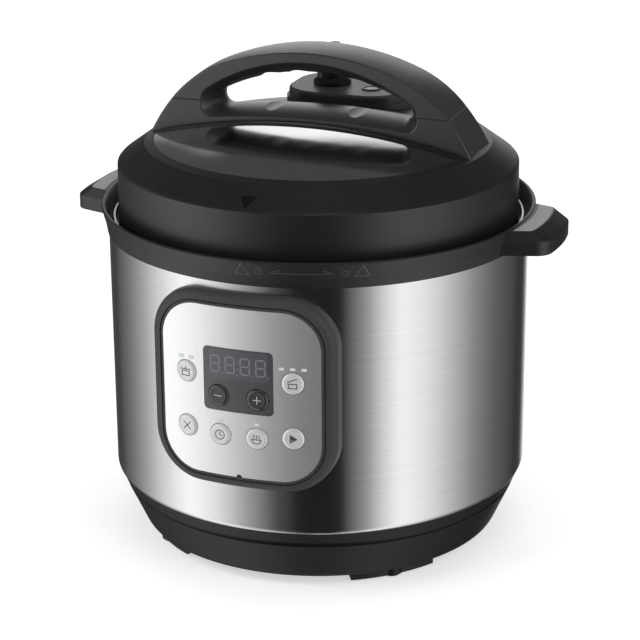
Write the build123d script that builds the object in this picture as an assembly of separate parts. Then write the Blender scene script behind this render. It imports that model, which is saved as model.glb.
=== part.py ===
from build123d import *
from math import asin, cos, degrees, radians, sin, sqrt
import os

# Electric pressure cooker with a turn-and-lift lid. Millimetres, +Z up, the front faces -Y.
# The origin is the middle of the footprint, on the table.

# Overall sizes
BODY_RADIUS = 135.0
RIM_TOP = 220.8
LID_WALL_HEIGHT = 27.1
HANDLE_HEIGHT = 45.0

# Sheet, wall and gap sizes
SHELL_SHEET = 0.8
POT_SHEET = 1.5
PRESSED_SHEET = 1.2
PLASTIC_WALL = 2.6
FIT_GAP = 0.2
SEAT_GAP = 0.05
MOVING_GAP = 0.35

# Base
FLOOR_GAP = 6.6
SHELL_BOTTOM = 44.4
CREASE_Z = 36.4
BASE_FLOOR_RADIUS = BODY_RADIUS - 20.2
COVER_RADIUS = BASE_FLOOR_RADIUS - 14.8
COVER_THICKNESS = 1.6
LEDGE_Z = FLOOR_GAP + COVER_THICKNESS
BASE_INSIDE_Z = LEDGE_Z + 2.2
FOOT_RADIUS = 6.0
FOOT_CIRCLE = BASE_FLOOR_RADIUS - 8.0
FOOT_SEAT = 3.4
PLINTH_Z = 1.4
PLINTH_HALF_ANGLE = 15.0
DIAGONALS = (45.0, 135.0, 225.0, 315.0)
SCREW_SHANK = 1.5

# Upper rim and its two carrying ears
RIM_BOTTOM = RIM_TOP - 16.6
RIM_CREASE = RIM_TOP - 10.0
SHELL_TOP = RIM_TOP - 13.2
RIM_LIP_RADIUS = BODY_RADIUS + 4.3
WEB_TOP = RIM_TOP - 18.6
WEB_BOTTOM = WEB_TOP - 2.5
EAR_REACH = BODY_RADIUS + 26.5
EAR_HALF_WIDTH = 35.0
EAR_NARROWING = 0.3
EAR_BULGE = 2.8
EAR_CORNER = 11.0
EAR_EDGE_ROUND = 1.4
EAR_TOP = RIM_TOP - 0.5
EAR_SHOULDER = EAR_TOP - 6.0
EAR_BOTTOM = RIM_BOTTOM + 1.3
EAR_TIP_SLOPE = 9.4
EAR_SIDE_SLOPE = 3.6
INLAY_INNER = RIM_LIP_RADIUS + 1.6
INLAY_MARGIN = 0.7
INLAY_DEPTH = 1.2

# Pot, its housing and the heater
POT_RADIUS = BODY_RADIUS - 25.0
POT_BOTTOM = 62.0
POT_FLOOR = 3.0
POT_CORNER = 14.0
HOUSING_RADIUS = POT_RADIUS + POT_SHEET + 1.1
HOUSING_BOTTOM = POT_BOTTOM - 11.0
FLANGE_TOP = RIM_TOP - 5.8
FLANGE_BOTTOM = FLANGE_TOP - 2.0
LUG_COUNT = 6
FLANGE_LUG_RADIUS = HOUSING_RADIUS + 8.4
FLANGE_LUG_HALF_ANGLE = 90.0 / LUG_COUNT
PLATE_RADIUS = POT_RADIUS - 15.0
PLATE_BOTTOM = POT_BOTTOM - 12.0
ELEMENT_RING = PLATE_RADIUS - 25.0
ELEMENT_WIRE = 3.2
SENSOR_RADIUS = 16.0
SENSOR_STEM = 5.0
SENSOR_GUIDE_TOP = 24.0
SPRING_RADIUS = 8.0
SPRING_WIRE = 0.6
SPRING_TURNS = 7

# Trough that catches the drips around the pot housing
TROUGH_INNER = HOUSING_RADIUS + PRESSED_SHEET + 0.3
TROUGH_OUTER = BODY_RADIUS - 3.2
TROUGH_LIP = RIM_TOP - 7.8
DRAIN_Y = BODY_RADIUS - 10.0

# Lid
LID_RADIUS = BODY_RADIUS - 7.0
LID_DRAFT = 0.6
LID_BOTTOM = RIM_TOP - 13.8
LID_EDGE = RIM_TOP + LID_WALL_HEIGHT
BEVEL_RADIUS = LID_RADIUS - 17.1
BEVEL_TOP = LID_EDGE + 11.7
DOME_RISE = 14.9
DOME_TOP = BEVEL_TOP + DOME_RISE
DOME_RADIUS = (BEVEL_RADIUS ** 2 + DOME_RISE ** 2) / (2 * DOME_RISE)
CRESCENT_RADIUS = BEVEL_RADIUS - 6.3
CRESCENT_DEPTH = 1.2
SKIRT_RADIUS = LID_RADIUS - 5.0
LID_LUG_RADIUS = HOUSING_RADIUS + 5.9
LID_LUG_HALF_ANGLE = 65.0 / LUG_COUNT
LID_LUG_TOP = FLANGE_BOTTOM - 0.8
SEAL_TOP = FLANGE_TOP + 10.0
INNER_TOP = SEAL_TOP + 7.5
INNER_FLAT = POT_RADIUS - 16.0
LID_POST_CIRCLE = POT_RADIUS - 25.0
LID_POST_RADIUS = 4.0

# Lid handle
HANDLE_TOP = DOME_TOP + HANDLE_HEIGHT
SEAM_Z = DOME_TOP + 8.6
SEAM_HALF = BEVEL_RADIUS - 18.4
SEAM_GROOVE = 0.4
SHOULDER_HALF = SEAM_HALF - 30.5
SHOULDER_DROP = 12.2
HANDLE_END = BEVEL_RADIUS - 2.4
HANDLE_HALF_BASE = 21.0
HANDLE_HALF_TOP = 18.5
CRESCENT_BACK = HANDLE_HALF_BASE + 6.0
CROWN_DROP = 2.4
OPENING_HALF = SEAM_HALF - 19.5
OPENING_WAIST = OPENING_HALF - 8.5
OPENING_TOP = HANDLE_TOP - 5.1
WAIST_TOP = OPENING_TOP - 11.6
WAIST_DROP = 16.0
CREASE_ROUND = 1.2
MOUTH_ROUND = 0.9
GROOVE_COUNT = 4
GROOVE_PITCH = 19.0
GROOVE_DEPTH = 2.4
GROOVE_RADIUS = 12.0

# Steam valves behind the handle
DECK_TOP = DOME_TOP + 5.5
DECK_HALF = 40.0
DECK_FRONT = HANDLE_HALF_BASE + 13.0
DECK_BACK = BEVEL_RADIUS - 15.0
DECK_CORNER = 24.0
DECK_STEP = 6.0
DECK_FOOT = 1.6
KNOB_AT = (-13.0, 63.0)
KNOB_RADIUS = 10.0
KNOB_FOOT_RADIUS = 12.5
KNOB_HEIGHT = 26.0
PIPE_RADIUS = 4.0
FLOAT_AT = (16.5, 56.0)
FLOAT_BUSH_RADIUS = 6.3
FLOAT_HEAD_RADIUS = 4.2
FLOAT_STEM = 2.0
FLOAT_TRAVEL = 3.5

# Control panel
PANEL_FRONT = BODY_RADIUS + 7.0
PANEL_CURVE = 190.0
PANEL_AXIS = PANEL_CURVE - PANEL_FRONT
PANEL_Z = (SHELL_BOTTOM + RIM_BOTTOM) / 2 + 12.5
PLATE_WIDTH = 102.0
PLATE_HEIGHT = 108.4
PLATE_CORNER = 24.0
PLATE_SHEET = 1.0
BEZEL_LIP = 2.6
BEZEL_GROOVE = 1.1
BEZEL_ROUND = 5.6
BEZEL_WALL = 2.2
WINDOW_WIDTH = 44.6
WINDOW_HEIGHT = 40.3
WINDOW_RISE = 8.3
BUTTON_RADIUS = 6.8
BUTTON_PROUD = 1.2
SIGN_RECESS = 0.1
BUTTONS = {
    "button_upper_left": (-34.3, 10.0),
    "button_upper_right": (34.3, 10.0),
    "button_outer_left": (-34.3, -25.3),
    "button_outer_right": (34.3, -25.3),
    "button_inner_left": (-11.8, -27.4),
    "button_inner_right": (11.8, -27.4),
    "button_minus": (-12.5, -2.2),
    "button_plus": (12.5, -2.2),
}
LENS_RISE = BUTTON_RADIUS + 2.2
LENS_PITCH = 6.7
LENS_SIZE = (3.4, 1.8)
BOARD_FRONT = PANEL_FRONT - 10.8
BOARD_SHEET = 1.6
BOARD_POSTS = [(x, z) for x in (-41.0, 41.0) for z in (-44.0, 44.0)]

# Drip cup at the back
CUP_WIDTH = 68.0
CUP_HEIGHT = 46.0
CUP_CORNER = 7.0
CUP_Z = RIM_BOTTOM - 44.0
CUP_BACK = BODY_RADIUS + 9.5
DOCK_FRONT = BODY_RADIUS - 16.0
DOCK_BACK = BODY_RADIUS + 3.6

# Mains inlet at the back of the base
INLET_WIDTH = 27.0
INLET_HEIGHT = 20.0
INLET_Z = 25.0
INLET_BACK = BODY_RADIUS - 4.0
INLET_DEPTH = 16.5
INLET_PINS = [(-7.0, INLET_Z - 2.0), (7.0, INLET_Z - 2.0), (0.0, INLET_Z + 2.5)]
POWER_BOARD_Z = 16.0


# Small shape helpers

def cylinder(radius, low, high, at=(0.0, 0.0)):
    return Pos(at[0], at[1], (low + high) / 2) * Cylinder(radius, high - low)


def tube(inner, outer, low, high, at=(0.0, 0.0)):
    return cylinder(outer, low, high, at) - cylinder(inner, low, high, at)


def block(x_range, y_range, z_range):
    low = Vector(x_range[0], y_range[0], z_range[0])
    high = Vector(x_range[1], y_range[1], z_range[1])
    size = high - low
    middle = (low + high) / 2
    return Pos(middle.X, middle.Y, middle.Z) * Box(size.X, size.Y, size.Z)


def turned(outline):
    return revolve(Plane.XZ * make_face(outline), Axis.Z)


def turned_points(*points):
    return turned(Polyline(*points, close=True))


def sector(inner, outer, low, high, middle_angle, half_angle):
    section = make_face(Polyline((inner, low), (outer, low), (outer, high), (inner, high), close=True))
    swept = revolve(Plane.XZ * section, Axis.Z, 2 * half_angle)
    return Rot(0, 0, middle_angle - half_angle) * swept


def around(radius, angle):
    return (radius * cos(radians(angle)), radius * sin(radians(angle)))


def upright(y):
    return Plane(origin=(0, y, 0), x_dir=(1, 0, 0), z_dir=(0, -1, 0))


def slab(sketch, y_front, y_back):
    return extrude(upright(y_back) * sketch, amount=y_back - y_front)


def rounded(width, height, corner, z):
    return Pos(0, z) * RectangleRounded(width, height, corner)


def union(pieces):
    pieces = list(pieces)
    result = pieces[0]
    for piece in pieces[1:]:
        result = result + piece
    return result


def group(pieces):
    return Compound(children=list(pieces))


# Base housing, feet and bottom cover

def inlet_block():
    half = INLET_WIDTH / 2 + 4
    tall = INLET_HEIGHT / 2 + 4
    return block((-half, half), (BODY_RADIUS - 33, INLET_BACK), (INLET_Z - tall, INLET_Z + tall))


def base_housing():
    r = BODY_RADIUS
    outline = Polyline(
        (BASE_FLOOR_RADIUS, FLOOR_GAP), (r - 17.4, FLOOR_GAP + 1.3), (r - 16.3, FLOOR_GAP + 3.0),
        (r - 5.5, CREASE_Z - 2.9), (r - 6.3, CREASE_Z - 1.9), (r - 6.3, CREASE_Z - 0.2),
        (r - 4.4, CREASE_Z + 0.2), (r - 1.2, SHELL_BOTTOM), (r - 3.1, SHELL_BOTTOM),
        (r - 3.1, SHELL_BOTTOM + 9.6), (r - 5.6, SHELL_BOTTOM + 9.6), (r - 5.6, SHELL_BOTTOM - 0.4),
        (r - 8.4, CREASE_Z), (r - 8.8, CREASE_Z - 3.4), (r - 18.8, BASE_INSIDE_Z + 1.4),
        (r - 20.2, BASE_INSIDE_Z), (COVER_RADIUS - 6, BASE_INSIDE_Z), (COVER_RADIUS - 6, LEDGE_Z),
        (COVER_RADIUS, LEDGE_Z), (COVER_RADIUS, FLOOR_GAP), close=True)
    housing = turned(outline)
    for angle in DIAGONALS:
        at = around(FOOT_CIRCLE, angle)
        housing += sector(FOOT_CIRCLE - 5.3, FOOT_CIRCLE + 5.5, PLINTH_Z, FLOOR_GAP + 1, angle,
                          PLINTH_HALF_ANGLE)
        housing += cylinder(FOOT_RADIUS + 1.2, PLINTH_Z, FLOOR_GAP + 1, at)
        housing -= cylinder(FOOT_RADIUS + FIT_GAP / 2, PLINTH_Z - 1, FOOT_SEAT, at)
        housing -= cylinder(FOOT_RADIUS / 2 + FIT_GAP / 2, FOOT_SEAT - 1, FOOT_SEAT + 4, at)
    for angle in (0, 90, 180, 270):
        at = around(COVER_RADIUS - 3, angle)
        housing -= cylinder(SCREW_SHANK + 0.1, LEDGE_Z - 1, BASE_INSIDE_Z + 1, at)
    housing += inlet_block() - cylinder(BODY_RADIUS - 24, 0, SHELL_BOTTOM)
    inlet_hole = Pos(0, INLET_Z) * Rectangle(INLET_WIDTH + FIT_GAP, INLET_HEIGHT + FIT_GAP)
    housing -= slab(inlet_hole, BODY_RADIUS - 40, INLET_BACK + 1)
    return housing


def foot_pads():
    head = turned_points((0, 0), (FOOT_RADIUS - 0.6, 0), (FOOT_RADIUS, 0.6), (FOOT_RADIUS, FOOT_SEAT),
                         (FOOT_RADIUS / 2, FOOT_SEAT), (FOOT_RADIUS / 2, FOOT_SEAT + 3.6),
                         (0, FOOT_SEAT + 3.6))
    return group(Pos(*around(FOOT_CIRCLE, angle), 0) * head for angle in DIAGONALS)


def bottom_cover():
    cover = cylinder(COVER_RADIUS - FIT_GAP * 2, FLOOR_GAP, LEDGE_Z)
    for index in range(-4, 5):
        slot = SlotOverall(42, 3.6, rotation=90)
        cover -= extrude(Pos(index * 9.0, -52, FLOOR_GAP - 1) * slot, amount=4)
    for angle in (0, 90, 180, 270):
        cover -= cylinder(SCREW_SHANK + FIT_GAP, FLOOR_GAP - 1, LEDGE_Z + 1,
                          around(COVER_RADIUS - 3, angle))
    cover += cylinder(SPRING_RADIUS + 2, LEDGE_Z - 0.5, SENSOR_GUIDE_TOP)
    cover -= cylinder(SENSOR_STEM + MOVING_GAP, LEDGE_Z + 2, SENSOR_GUIDE_TOP + 1)
    for x in (-37, 37):
        for y in (36, 76):
            cover += cylinder(3, LEDGE_Z - 0.5, POWER_BOARD_Z, (x, y))
    return cover


def cover_screws():
    screw = cylinder(3.2, FLOOR_GAP - 1.8, FLOOR_GAP) + cylinder(SCREW_SHANK, FLOOR_GAP, BASE_INSIDE_Z)
    return group(Pos(*around(COVER_RADIUS - 3, angle), 0) * screw for angle in (0, 90, 180, 270))


# Steel outer shell

def outer_shell():
    r = BODY_RADIUS
    sheet = SHELL_SHEET
    curl_top = SHELL_BOTTOM + 2.6
    edge = (r - 1.1, SHELL_BOTTOM)
    outline = (Line((r, SHELL_TOP), (r, curl_top))
               + TangentArc((r, curl_top), edge, tangent=(0, -1))
               + Line(edge, (edge[0] - sheet, SHELL_BOTTOM))
               + TangentArc((r - sheet, curl_top), (edge[0] - sheet, SHELL_BOTTOM), tangent=(0, -1))
               + Line((r - sheet, curl_top), (r - sheet, SHELL_TOP))
               + Line((r - sheet, SHELL_TOP), (r, SHELL_TOP)))
    shell = turned(outline)
    shell -= slab(panel_plug_outline(FIT_GAP), -BODY_RADIUS - 5, -BODY_RADIUS + 60)
    shell -= slab(dock_plug_outline(FIT_GAP), BODY_RADIUS - 60, BODY_RADIUS + 5)
    return shell


# Upper rim with ears

def ear_outline(tip_inset, side_inset, corner):
    root = BODY_RADIUS - 30
    tip = EAR_REACH - tip_inset
    side_end = tip - EAR_BULGE
    half = EAR_HALF_WIDTH - side_inset
    near = half + EAR_NARROWING * (BODY_RADIUS - root)
    far = half - EAR_NARROWING * (side_end - BODY_RADIUS)
    outline = make_face(Polyline((side_end, -far), (root, -near), (root, near), (side_end, far))
                        + ThreePointArc((side_end, far), (tip, 0), (side_end, -far)))
    return fillet(outline.vertices().group_by(Axis.X)[-1], corner)


def inlay_outline(gap):
    inset = INLAY_MARGIN - gap
    plate = ear_outline(EAR_TIP_SLOPE + inset, EAR_SIDE_SLOPE + inset, EAR_CORNER / 2 - inset)
    return plate - Circle(INLAY_INNER - gap)


def right_ear():
    skirt = ear_outline(0, 0, EAR_CORNER)
    crown = ear_outline(EAR_TIP_SLOPE, EAR_SIDE_SLOPE, EAR_CORNER / 2)
    ear = extrude(Pos(0, 0, EAR_BOTTOM) * skirt, amount=EAR_SHOULDER - EAR_BOTTOM)
    ear += loft([Pos(0, 0, EAR_SHOULDER) * skirt, Pos(0, 0, EAR_TOP) * crown], ruled=True)
    shoulder = [e for e in ear.edges() if abs(e.center().Z - EAR_SHOULDER) < 0.01]
    ear = fillet([e for e in shoulder if e.center().X > BODY_RADIUS - 25], EAR_EDGE_ROUND)
    wall = PLASTIC_WALL + 0.4
    finger_hollow = extrude(Pos(0, 0, EAR_BOTTOM) * ear_outline(wall, wall, EAR_CORNER - wall),
                            amount=EAR_SHOULDER - EAR_BOTTOM - PLASTIC_WALL)
    ear -= finger_hollow - cylinder(BODY_RADIUS + 3, EAR_BOTTOM - 1, EAR_TOP)
    ear -= extrude(Pos(0, 0, EAR_TOP - INLAY_DEPTH) * inlay_outline(FIT_GAP), amount=5)
    ear -= cylinder(BODY_RADIUS + 0.6, EAR_BOTTOM - 1, RIM_CREASE + 1)
    return ear - cylinder(BODY_RADIUS + 2.0, RIM_CREASE, EAR_TOP + 1)


def top_rim():
    r = BODY_RADIUS
    rim = turned_points(
        (r + FIT_GAP, RIM_BOTTOM), (r + 0.9, RIM_BOTTOM), (r + 2.0, RIM_CREASE),
        (RIM_LIP_RADIUS, RIM_TOP - 1.4), (RIM_LIP_RADIUS, RIM_TOP - 0.6), (RIM_LIP_RADIUS - 0.6, RIM_TOP),
        (r + 2.3, RIM_TOP), (r + 1.4, RIM_TOP - 1.0), (r - 2.9, RIM_TOP - 8.3), (r - 2.9, WEB_TOP),
        (TROUGH_INNER + 0.8, WEB_TOP), (TROUGH_INNER + 0.8, WEB_BOTTOM), (r - 1.1, WEB_BOTTOM),
        (r - 1.1, SHELL_TOP), (r + FIT_GAP, SHELL_TOP))
    ear = right_ear()
    rim += ear
    rim += Rot(0, 0, 180) * ear
    return rim - cylinder(4.9, WEB_BOTTOM - 1, WEB_TOP + 1, (0, DRAIN_Y))


def ear_inlay(angle):
    plate = extrude(Pos(0, 0, EAR_TOP - INLAY_DEPTH) * inlay_outline(0), amount=INLAY_DEPTH + 0.2)
    plate = chamfer(plate.faces().sort_by(Axis.Z)[-1].edges(), 0.2)
    return Rot(0, 0, angle) * plate


def drip_trough():
    sheet = PRESSED_SHEET
    trough = turned_points(
        (TROUGH_INNER, WEB_TOP), (TROUGH_OUTER, WEB_TOP), (TROUGH_OUTER, TROUGH_LIP),
        (TROUGH_OUTER - sheet, TROUGH_LIP), (TROUGH_OUTER - sheet, WEB_TOP + sheet),
        (TROUGH_INNER + sheet, WEB_TOP + sheet), (TROUGH_INNER + sheet, WEB_TOP + 4),
        (TROUGH_INNER, WEB_TOP + 4))
    return trough - cylinder(3.2, WEB_TOP - 1, WEB_TOP + 3, (0, DRAIN_Y))


def drain_tube():
    return tube(3.2, 4.4, CUP_Z + CUP_HEIGHT / 2 + 0.8, WEB_TOP, (0, DRAIN_Y))


# Pot housing with the flange lugs, and the pot

def pot_housing():
    r = HOUSING_RADIUS
    sheet = PRESSED_SHEET
    bend = 6.0
    outside = r + sheet
    low = HOUSING_BOTTOM
    outline = (Line((PLATE_RADIUS + 2, low), (outside - bend, low))
               + RadiusArc((outside - bend, low), (outside, low + bend), -bend)
               + Line((outside, low + bend), (outside, FLANGE_BOTTOM))
               + Polyline((outside, FLANGE_BOTTOM), (r + 3.9, FLANGE_BOTTOM), (r + 3.9, FLANGE_TOP),
                          (r, FLANGE_TOP), (r, low + bend))
               + RadiusArc((r, low + bend), (outside - bend, low + sheet), bend - sheet)
               + Polyline((outside - bend, low + sheet), (PLATE_RADIUS + 2, low + sheet),
                          (PLATE_RADIUS + 2, low)))
    housing = turned(outline)
    for index in range(LUG_COUNT):
        housing += sector(r + 3, FLANGE_LUG_RADIUS, FLANGE_BOTTOM, FLANGE_TOP,
                          index * 360 / LUG_COUNT, FLANGE_LUG_HALF_ANGLE)
    return housing


def support_posts():
    return group(cylinder(5, BASE_INSIDE_Z, HOUSING_BOTTOM, around(PLATE_RADIUS + 10, angle))
                 for angle in DIAGONALS)


def inner_pot():
    r = POT_RADIUS
    outside = r + POT_SHEET
    bend = POT_CORNER
    low = POT_BOTTOM
    floor = POT_BOTTOM + POT_FLOOR
    top = FLANGE_TOP + POT_SHEET
    outline = (Line((0, low), (outside - bend, low))
               + RadiusArc((outside - bend, low), (outside, low + bend), -bend)
               + Polyline((outside, low + bend), (outside, FLANGE_TOP), (r + 7, FLANGE_TOP), (r + 7, top),
                          (r, top), (r, low + bend))
               + RadiusArc((r, low + bend), (outside - bend, floor), bend - POT_SHEET)
               + Polyline((outside - bend, floor), (0, floor), (0, low)))
    return turned(outline)


# Heater and temperature sensor

def heating_plate():
    hole = SENSOR_RADIUS + 2
    seat = HOUSING_BOTTOM + PRESSED_SHEET
    plate = turned_points(
        (hole, PLATE_BOTTOM), (PLATE_RADIUS + 1.4, PLATE_BOTTOM), (PLATE_RADIUS + 1.4, seat),
        (PLATE_RADIUS + 5, seat), (PLATE_RADIUS + 5, seat + 2.3), (PLATE_RADIUS + 1.4, seat + 2.3),
        (PLATE_RADIUS - 1, POT_BOTTOM), (hole, POT_BOTTOM))
    groove = Pos(0, 0, PLATE_BOTTOM) * Torus(ELEMENT_RING, ELEMENT_WIRE + 0.1)
    return plate - groove


def heating_element():
    section = Pos(ELEMENT_RING, PLATE_BOTTOM) * Circle(ELEMENT_WIRE)
    element = revolve(Plane.XZ * section, Axis.Z, 320)
    for angle in (0.5, 319.5):
        element += cylinder(2.2, PLATE_BOTTOM - 14, PLATE_BOTTOM, around(ELEMENT_RING, angle))
    return element


def temperature_sensor():
    return turned_points(
        (0, SENSOR_GUIDE_TOP - 8), (SENSOR_STEM, SENSOR_GUIDE_TOP - 8), (SENSOR_STEM, PLATE_BOTTOM + 5),
        (SENSOR_RADIUS, PLATE_BOTTOM + 5), (SENSOR_RADIUS, POT_BOTTOM - 1.2),
        (SENSOR_RADIUS - 1.2, POT_BOTTOM), (0, POT_BOTTOM))


def sensor_spring():
    low = SENSOR_GUIDE_TOP + SPRING_WIRE
    length = PLATE_BOTTOM + 5 - SPRING_WIRE - low
    path = Helix(length / SPRING_TURNS, length, SPRING_RADIUS, center=(0, 0, low))
    section = Plane(origin=path @ 0, z_dir=path % 0) * Circle(SPRING_WIRE)
    return sweep(section, path)


def thermal_cutout():
    return cylinder(8.5, PLATE_BOTTOM - 10, PLATE_BOTTOM, (45, -20))


def pressure_switch():
    switch = block((-57, -33), (-17, -3), (PLATE_BOTTOM - 14, PLATE_BOTTOM))
    return switch + cylinder(2, PLATE_BOTTOM - 18, PLATE_BOTTOM - 14, (-45, -10))


# Electrics in the base

def power_board():
    top = POWER_BOARD_Z + BOARD_SHEET
    board = block((-42, 42), (30, 82), (POWER_BOARD_Z, top))
    board += block((-36, -10), (38, 62), (top, top + 20))
    board += block((2, 20), (36, 50), (top, top + 15))
    board += cylinder(6, top, top + 19, (30, 44))
    board += block((-4, 34), (64, 76), (top, top + 10))
    return board


def inlet_opening_outline():
    half = INLET_WIDTH / 2 - 1.5
    tall = INLET_HEIGHT / 2 - 1.8
    cut = 4.5
    return make_face(Polyline((-half, -tall), (half, -tall), (half, tall - cut), (half - cut, tall),
                              (cut - half, tall), (-half, tall - cut), close=True))


def inlet_socket():
    body = slab(rounded(INLET_WIDTH, INLET_HEIGHT, 1.5, INLET_Z), INLET_BACK - 19.5, INLET_BACK)
    flange = slab(rounded(INLET_WIDTH + 5, INLET_HEIGHT + 5, 2.5, INLET_Z), INLET_BACK, INLET_BACK + 2)
    hollow = slab(Pos(0, INLET_Z) * inlet_opening_outline(), INLET_BACK + 2 - INLET_DEPTH, INLET_BACK + 3)
    socket = body + flange - hollow
    for x, z in INLET_PINS:
        socket -= block((x - 1.1, x + 1.1), (INLET_BACK - 25, INLET_BACK), (z - 2.1, z + 2.1))
    return socket


def inlet_pins():
    reach = (INLET_BACK - 24, INLET_BACK - 4)
    return group(block((x - 1, x + 1), reach, (z - 2, z + 2)) for x, z in INLET_PINS)


# Drip cup and the dock it slides into

def dock_plug_outline(extra):
    return rounded(CUP_WIDTH + 7 + 2 * extra, CUP_HEIGHT + 7 + 2 * extra, CUP_CORNER + 2, CUP_Z)


def cup_dock():
    flange = slab(rounded(CUP_WIDTH + 15, CUP_HEIGHT + 15, CUP_CORNER + 6, CUP_Z), 60, DOCK_BACK)
    flange -= cylinder(BODY_RADIUS + FIT_GAP, CUP_Z - CUP_HEIGHT, CUP_Z + CUP_HEIGHT)
    dock = flange + slab(dock_plug_outline(0), DOCK_FRONT, DOCK_BACK)
    pocket = rounded(CUP_WIDTH + 2 * MOVING_GAP, CUP_HEIGHT + 2 * MOVING_GAP, CUP_CORNER + MOVING_GAP, CUP_Z)
    dock -= slab(pocket, DOCK_FRONT + 2, DOCK_BACK + 1)
    return dock - cylinder(4.6, CUP_Z, CUP_Z + CUP_HEIGHT, (0, DRAIN_Y))


def drip_cup():
    cup = slab(rounded(CUP_WIDTH, CUP_HEIGHT, CUP_CORNER, CUP_Z), DOCK_FRONT + 2.4, CUP_BACK)
    outer_edges = cup.faces().sort_by(Axis.Y)[-1].edges()
    cup = fillet(outer_edges, 2.0)
    wall = 1.8
    half = CUP_WIDTH / 2 - wall
    hollow = block((-half, half), (DOCK_FRONT + 2.4 + wall, CUP_BACK - 2.4),
                   (CUP_Z - CUP_HEIGHT / 2 + wall, CUP_Z + CUP_HEIGHT))
    hollow = fillet(hollow.edges().filter_by(Axis.Y).group_by(Axis.Z)[0], CUP_CORNER - wall)
    return cup - hollow


# Control panel

def panel_plug_outline(extra):
    return rounded(PLATE_WIDTH + 4 + 2 * extra, PLATE_HEIGHT + 4 + 2 * extra, PLATE_CORNER, PANEL_Z)


def button_places():
    return [(x, PANEL_Z + z) for x, z in BUTTONS.values()]


def lens_places():
    upper = BUTTONS["button_upper_right"]
    places = [(upper[0] + step * LENS_PITCH, PANEL_Z + upper[1] + LENS_RISE) for step in (-1, 0, 1)]
    upper = BUTTONS["button_upper_left"]
    places += [(upper[0] + step * LENS_PITCH, PANEL_Z + upper[1] + LENS_RISE) for step in (-0.5, 0.5)]
    for name in ("button_inner_left", "button_inner_right"):
        places.append((BUTTONS[name][0], PANEL_Z + BUTTONS[name][1] + LENS_RISE))
    return places


def panel_rod(radius, front, back, at):
    return slab(Pos(*at) * Circle(radius), -front, -back)


def framed(margin):
    return rounded(PLATE_WIDTH + 2 * margin, PLATE_HEIGHT + 2 * margin, PLATE_CORNER + margin, PANEL_Z)


# The panel's face is bent round an upright axis behind the body's own
def bent_core(front):
    return cylinder(front + PANEL_AXIS, 0, RIM_TOP, (0, PANEL_AXIS))


def bent_sheet(sketch, front, back):
    return (slab(sketch, -front - 1, -BODY_RADIUS + 30) & bent_core(front)) - bent_core(back)


def lean(x):
    return asin(x / PANEL_CURVE)


def leaning(x, piece):
    return Pos(0, PANEL_AXIS, 0) * Rot(0, 0, degrees(lean(x))) * Pos(0, -PANEL_AXIS, 0) * piece


def key_hole(at):
    behind = PANEL_FRONT - PLATE_SHEET - BEZEL_WALL - 2
    return leaning(at[0], panel_rod(BUTTON_RADIUS + MOVING_GAP, PANEL_FRONT + 2, behind, (0, at[1])))


def panel_bezel():
    bezel = slab(framed(BEZEL_LIP + BEZEL_ROUND), -PANEL_FRONT - 1, -BODY_RADIUS + 30)
    bezel &= bent_core(PANEL_FRONT)
    bezel = fillet(bezel.faces().sort_by(Axis.Y)[0].edges(), BEZEL_ROUND)
    bezel -= cylinder(BODY_RADIUS + FIT_GAP, 0, RIM_TOP)
    plug = slab(panel_plug_outline(0), -PANEL_FRONT - 1, -BODY_RADIUS + 30) & bent_core(PANEL_FRONT - 2)
    bezel += plug - cylinder(BODY_RADIUS - 4.5, 0, RIM_TOP)
    seat = PANEL_FRONT - PLATE_SHEET
    wall_back = seat - BEZEL_WALL
    hollow = rounded(PLATE_WIDTH - 2, PLATE_HEIGHT - 2, PLATE_CORNER - 3, PANEL_Z)
    bezel -= slab(hollow, -PANEL_FRONT - 1, -BODY_RADIUS + 40) & bent_core(wall_back)
    bezel -= bent_sheet(framed(FIT_GAP), PANEL_FRONT + 1, seat)
    bezel -= bent_sheet(framed(BEZEL_LIP) - framed(BEZEL_LIP - BEZEL_GROOVE), PANEL_FRONT + 1, seat)
    for at in button_places():
        bezel -= key_hole(at)
    bezel -= slab(display_outline(0.5), -PANEL_FRONT, -wall_back + 3)
    for x, z in BOARD_POSTS:
        at = (x, PANEL_Z + z)
        bezel += panel_rod(3.2, PANEL_FRONT, BOARD_FRONT, at) & bent_core(wall_back + 0.5)
        bezel -= panel_rod(SCREW_SHANK + 0.1, BOARD_FRONT + 3.6, BOARD_FRONT - 1, at)
    return bezel


def panel_plate():
    seat = PANEL_FRONT - PLATE_SHEET
    plate = bent_sheet(framed(0), PANEL_FRONT, seat)
    for at in button_places():
        plate -= key_hole(at)
    for x, z in lens_places():
        slot = Pos(0, z) * Rectangle(LENS_SIZE[0] + FIT_GAP, LENS_SIZE[1] + FIT_GAP)
        plate -= leaning(x, slab(slot, -PANEL_FRONT - 1, -seat + 1))
    plate -= slab(window_outline(FIT_GAP), -PANEL_FRONT - 1, -seat + 4)
    return plate - panel_rod(1.8, PANEL_FRONT + 1, seat - 1, (0, PANEL_Z - PLATE_HEIGHT / 2))


def window_outline(extra):
    return rounded(WINDOW_WIDTH + 2 * extra, WINDOW_HEIGHT + 2 * extra, 3 + extra, PANEL_Z + WINDOW_RISE)


def display_window():
    window = bent_sheet(window_outline(0), PANEL_FRONT, PANEL_FRONT - PLATE_SHEET)
    for name in ("button_minus", "button_plus"):
        window -= key_hole((BUTTONS[name][0], PANEL_Z + BUTTONS[name][1]))
    return window


def display_outline(extra):
    return Pos(0, PANEL_Z + WINDOW_RISE + 10.5) * Rectangle(37 + 2 * extra, 14 + 2 * extra)


def display_module():
    return slab(display_outline(0), -PANEL_FRONT + PLATE_SHEET + 1.3, -BOARD_FRONT)


def indicator_lenses():
    seat = PANEL_FRONT - PLATE_SHEET
    return group(leaning(x, slab(Pos(0, z) * Rectangle(*LENS_SIZE), -PANEL_FRONT - 0.1, -seat))
                 for x, z in lens_places())


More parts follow.
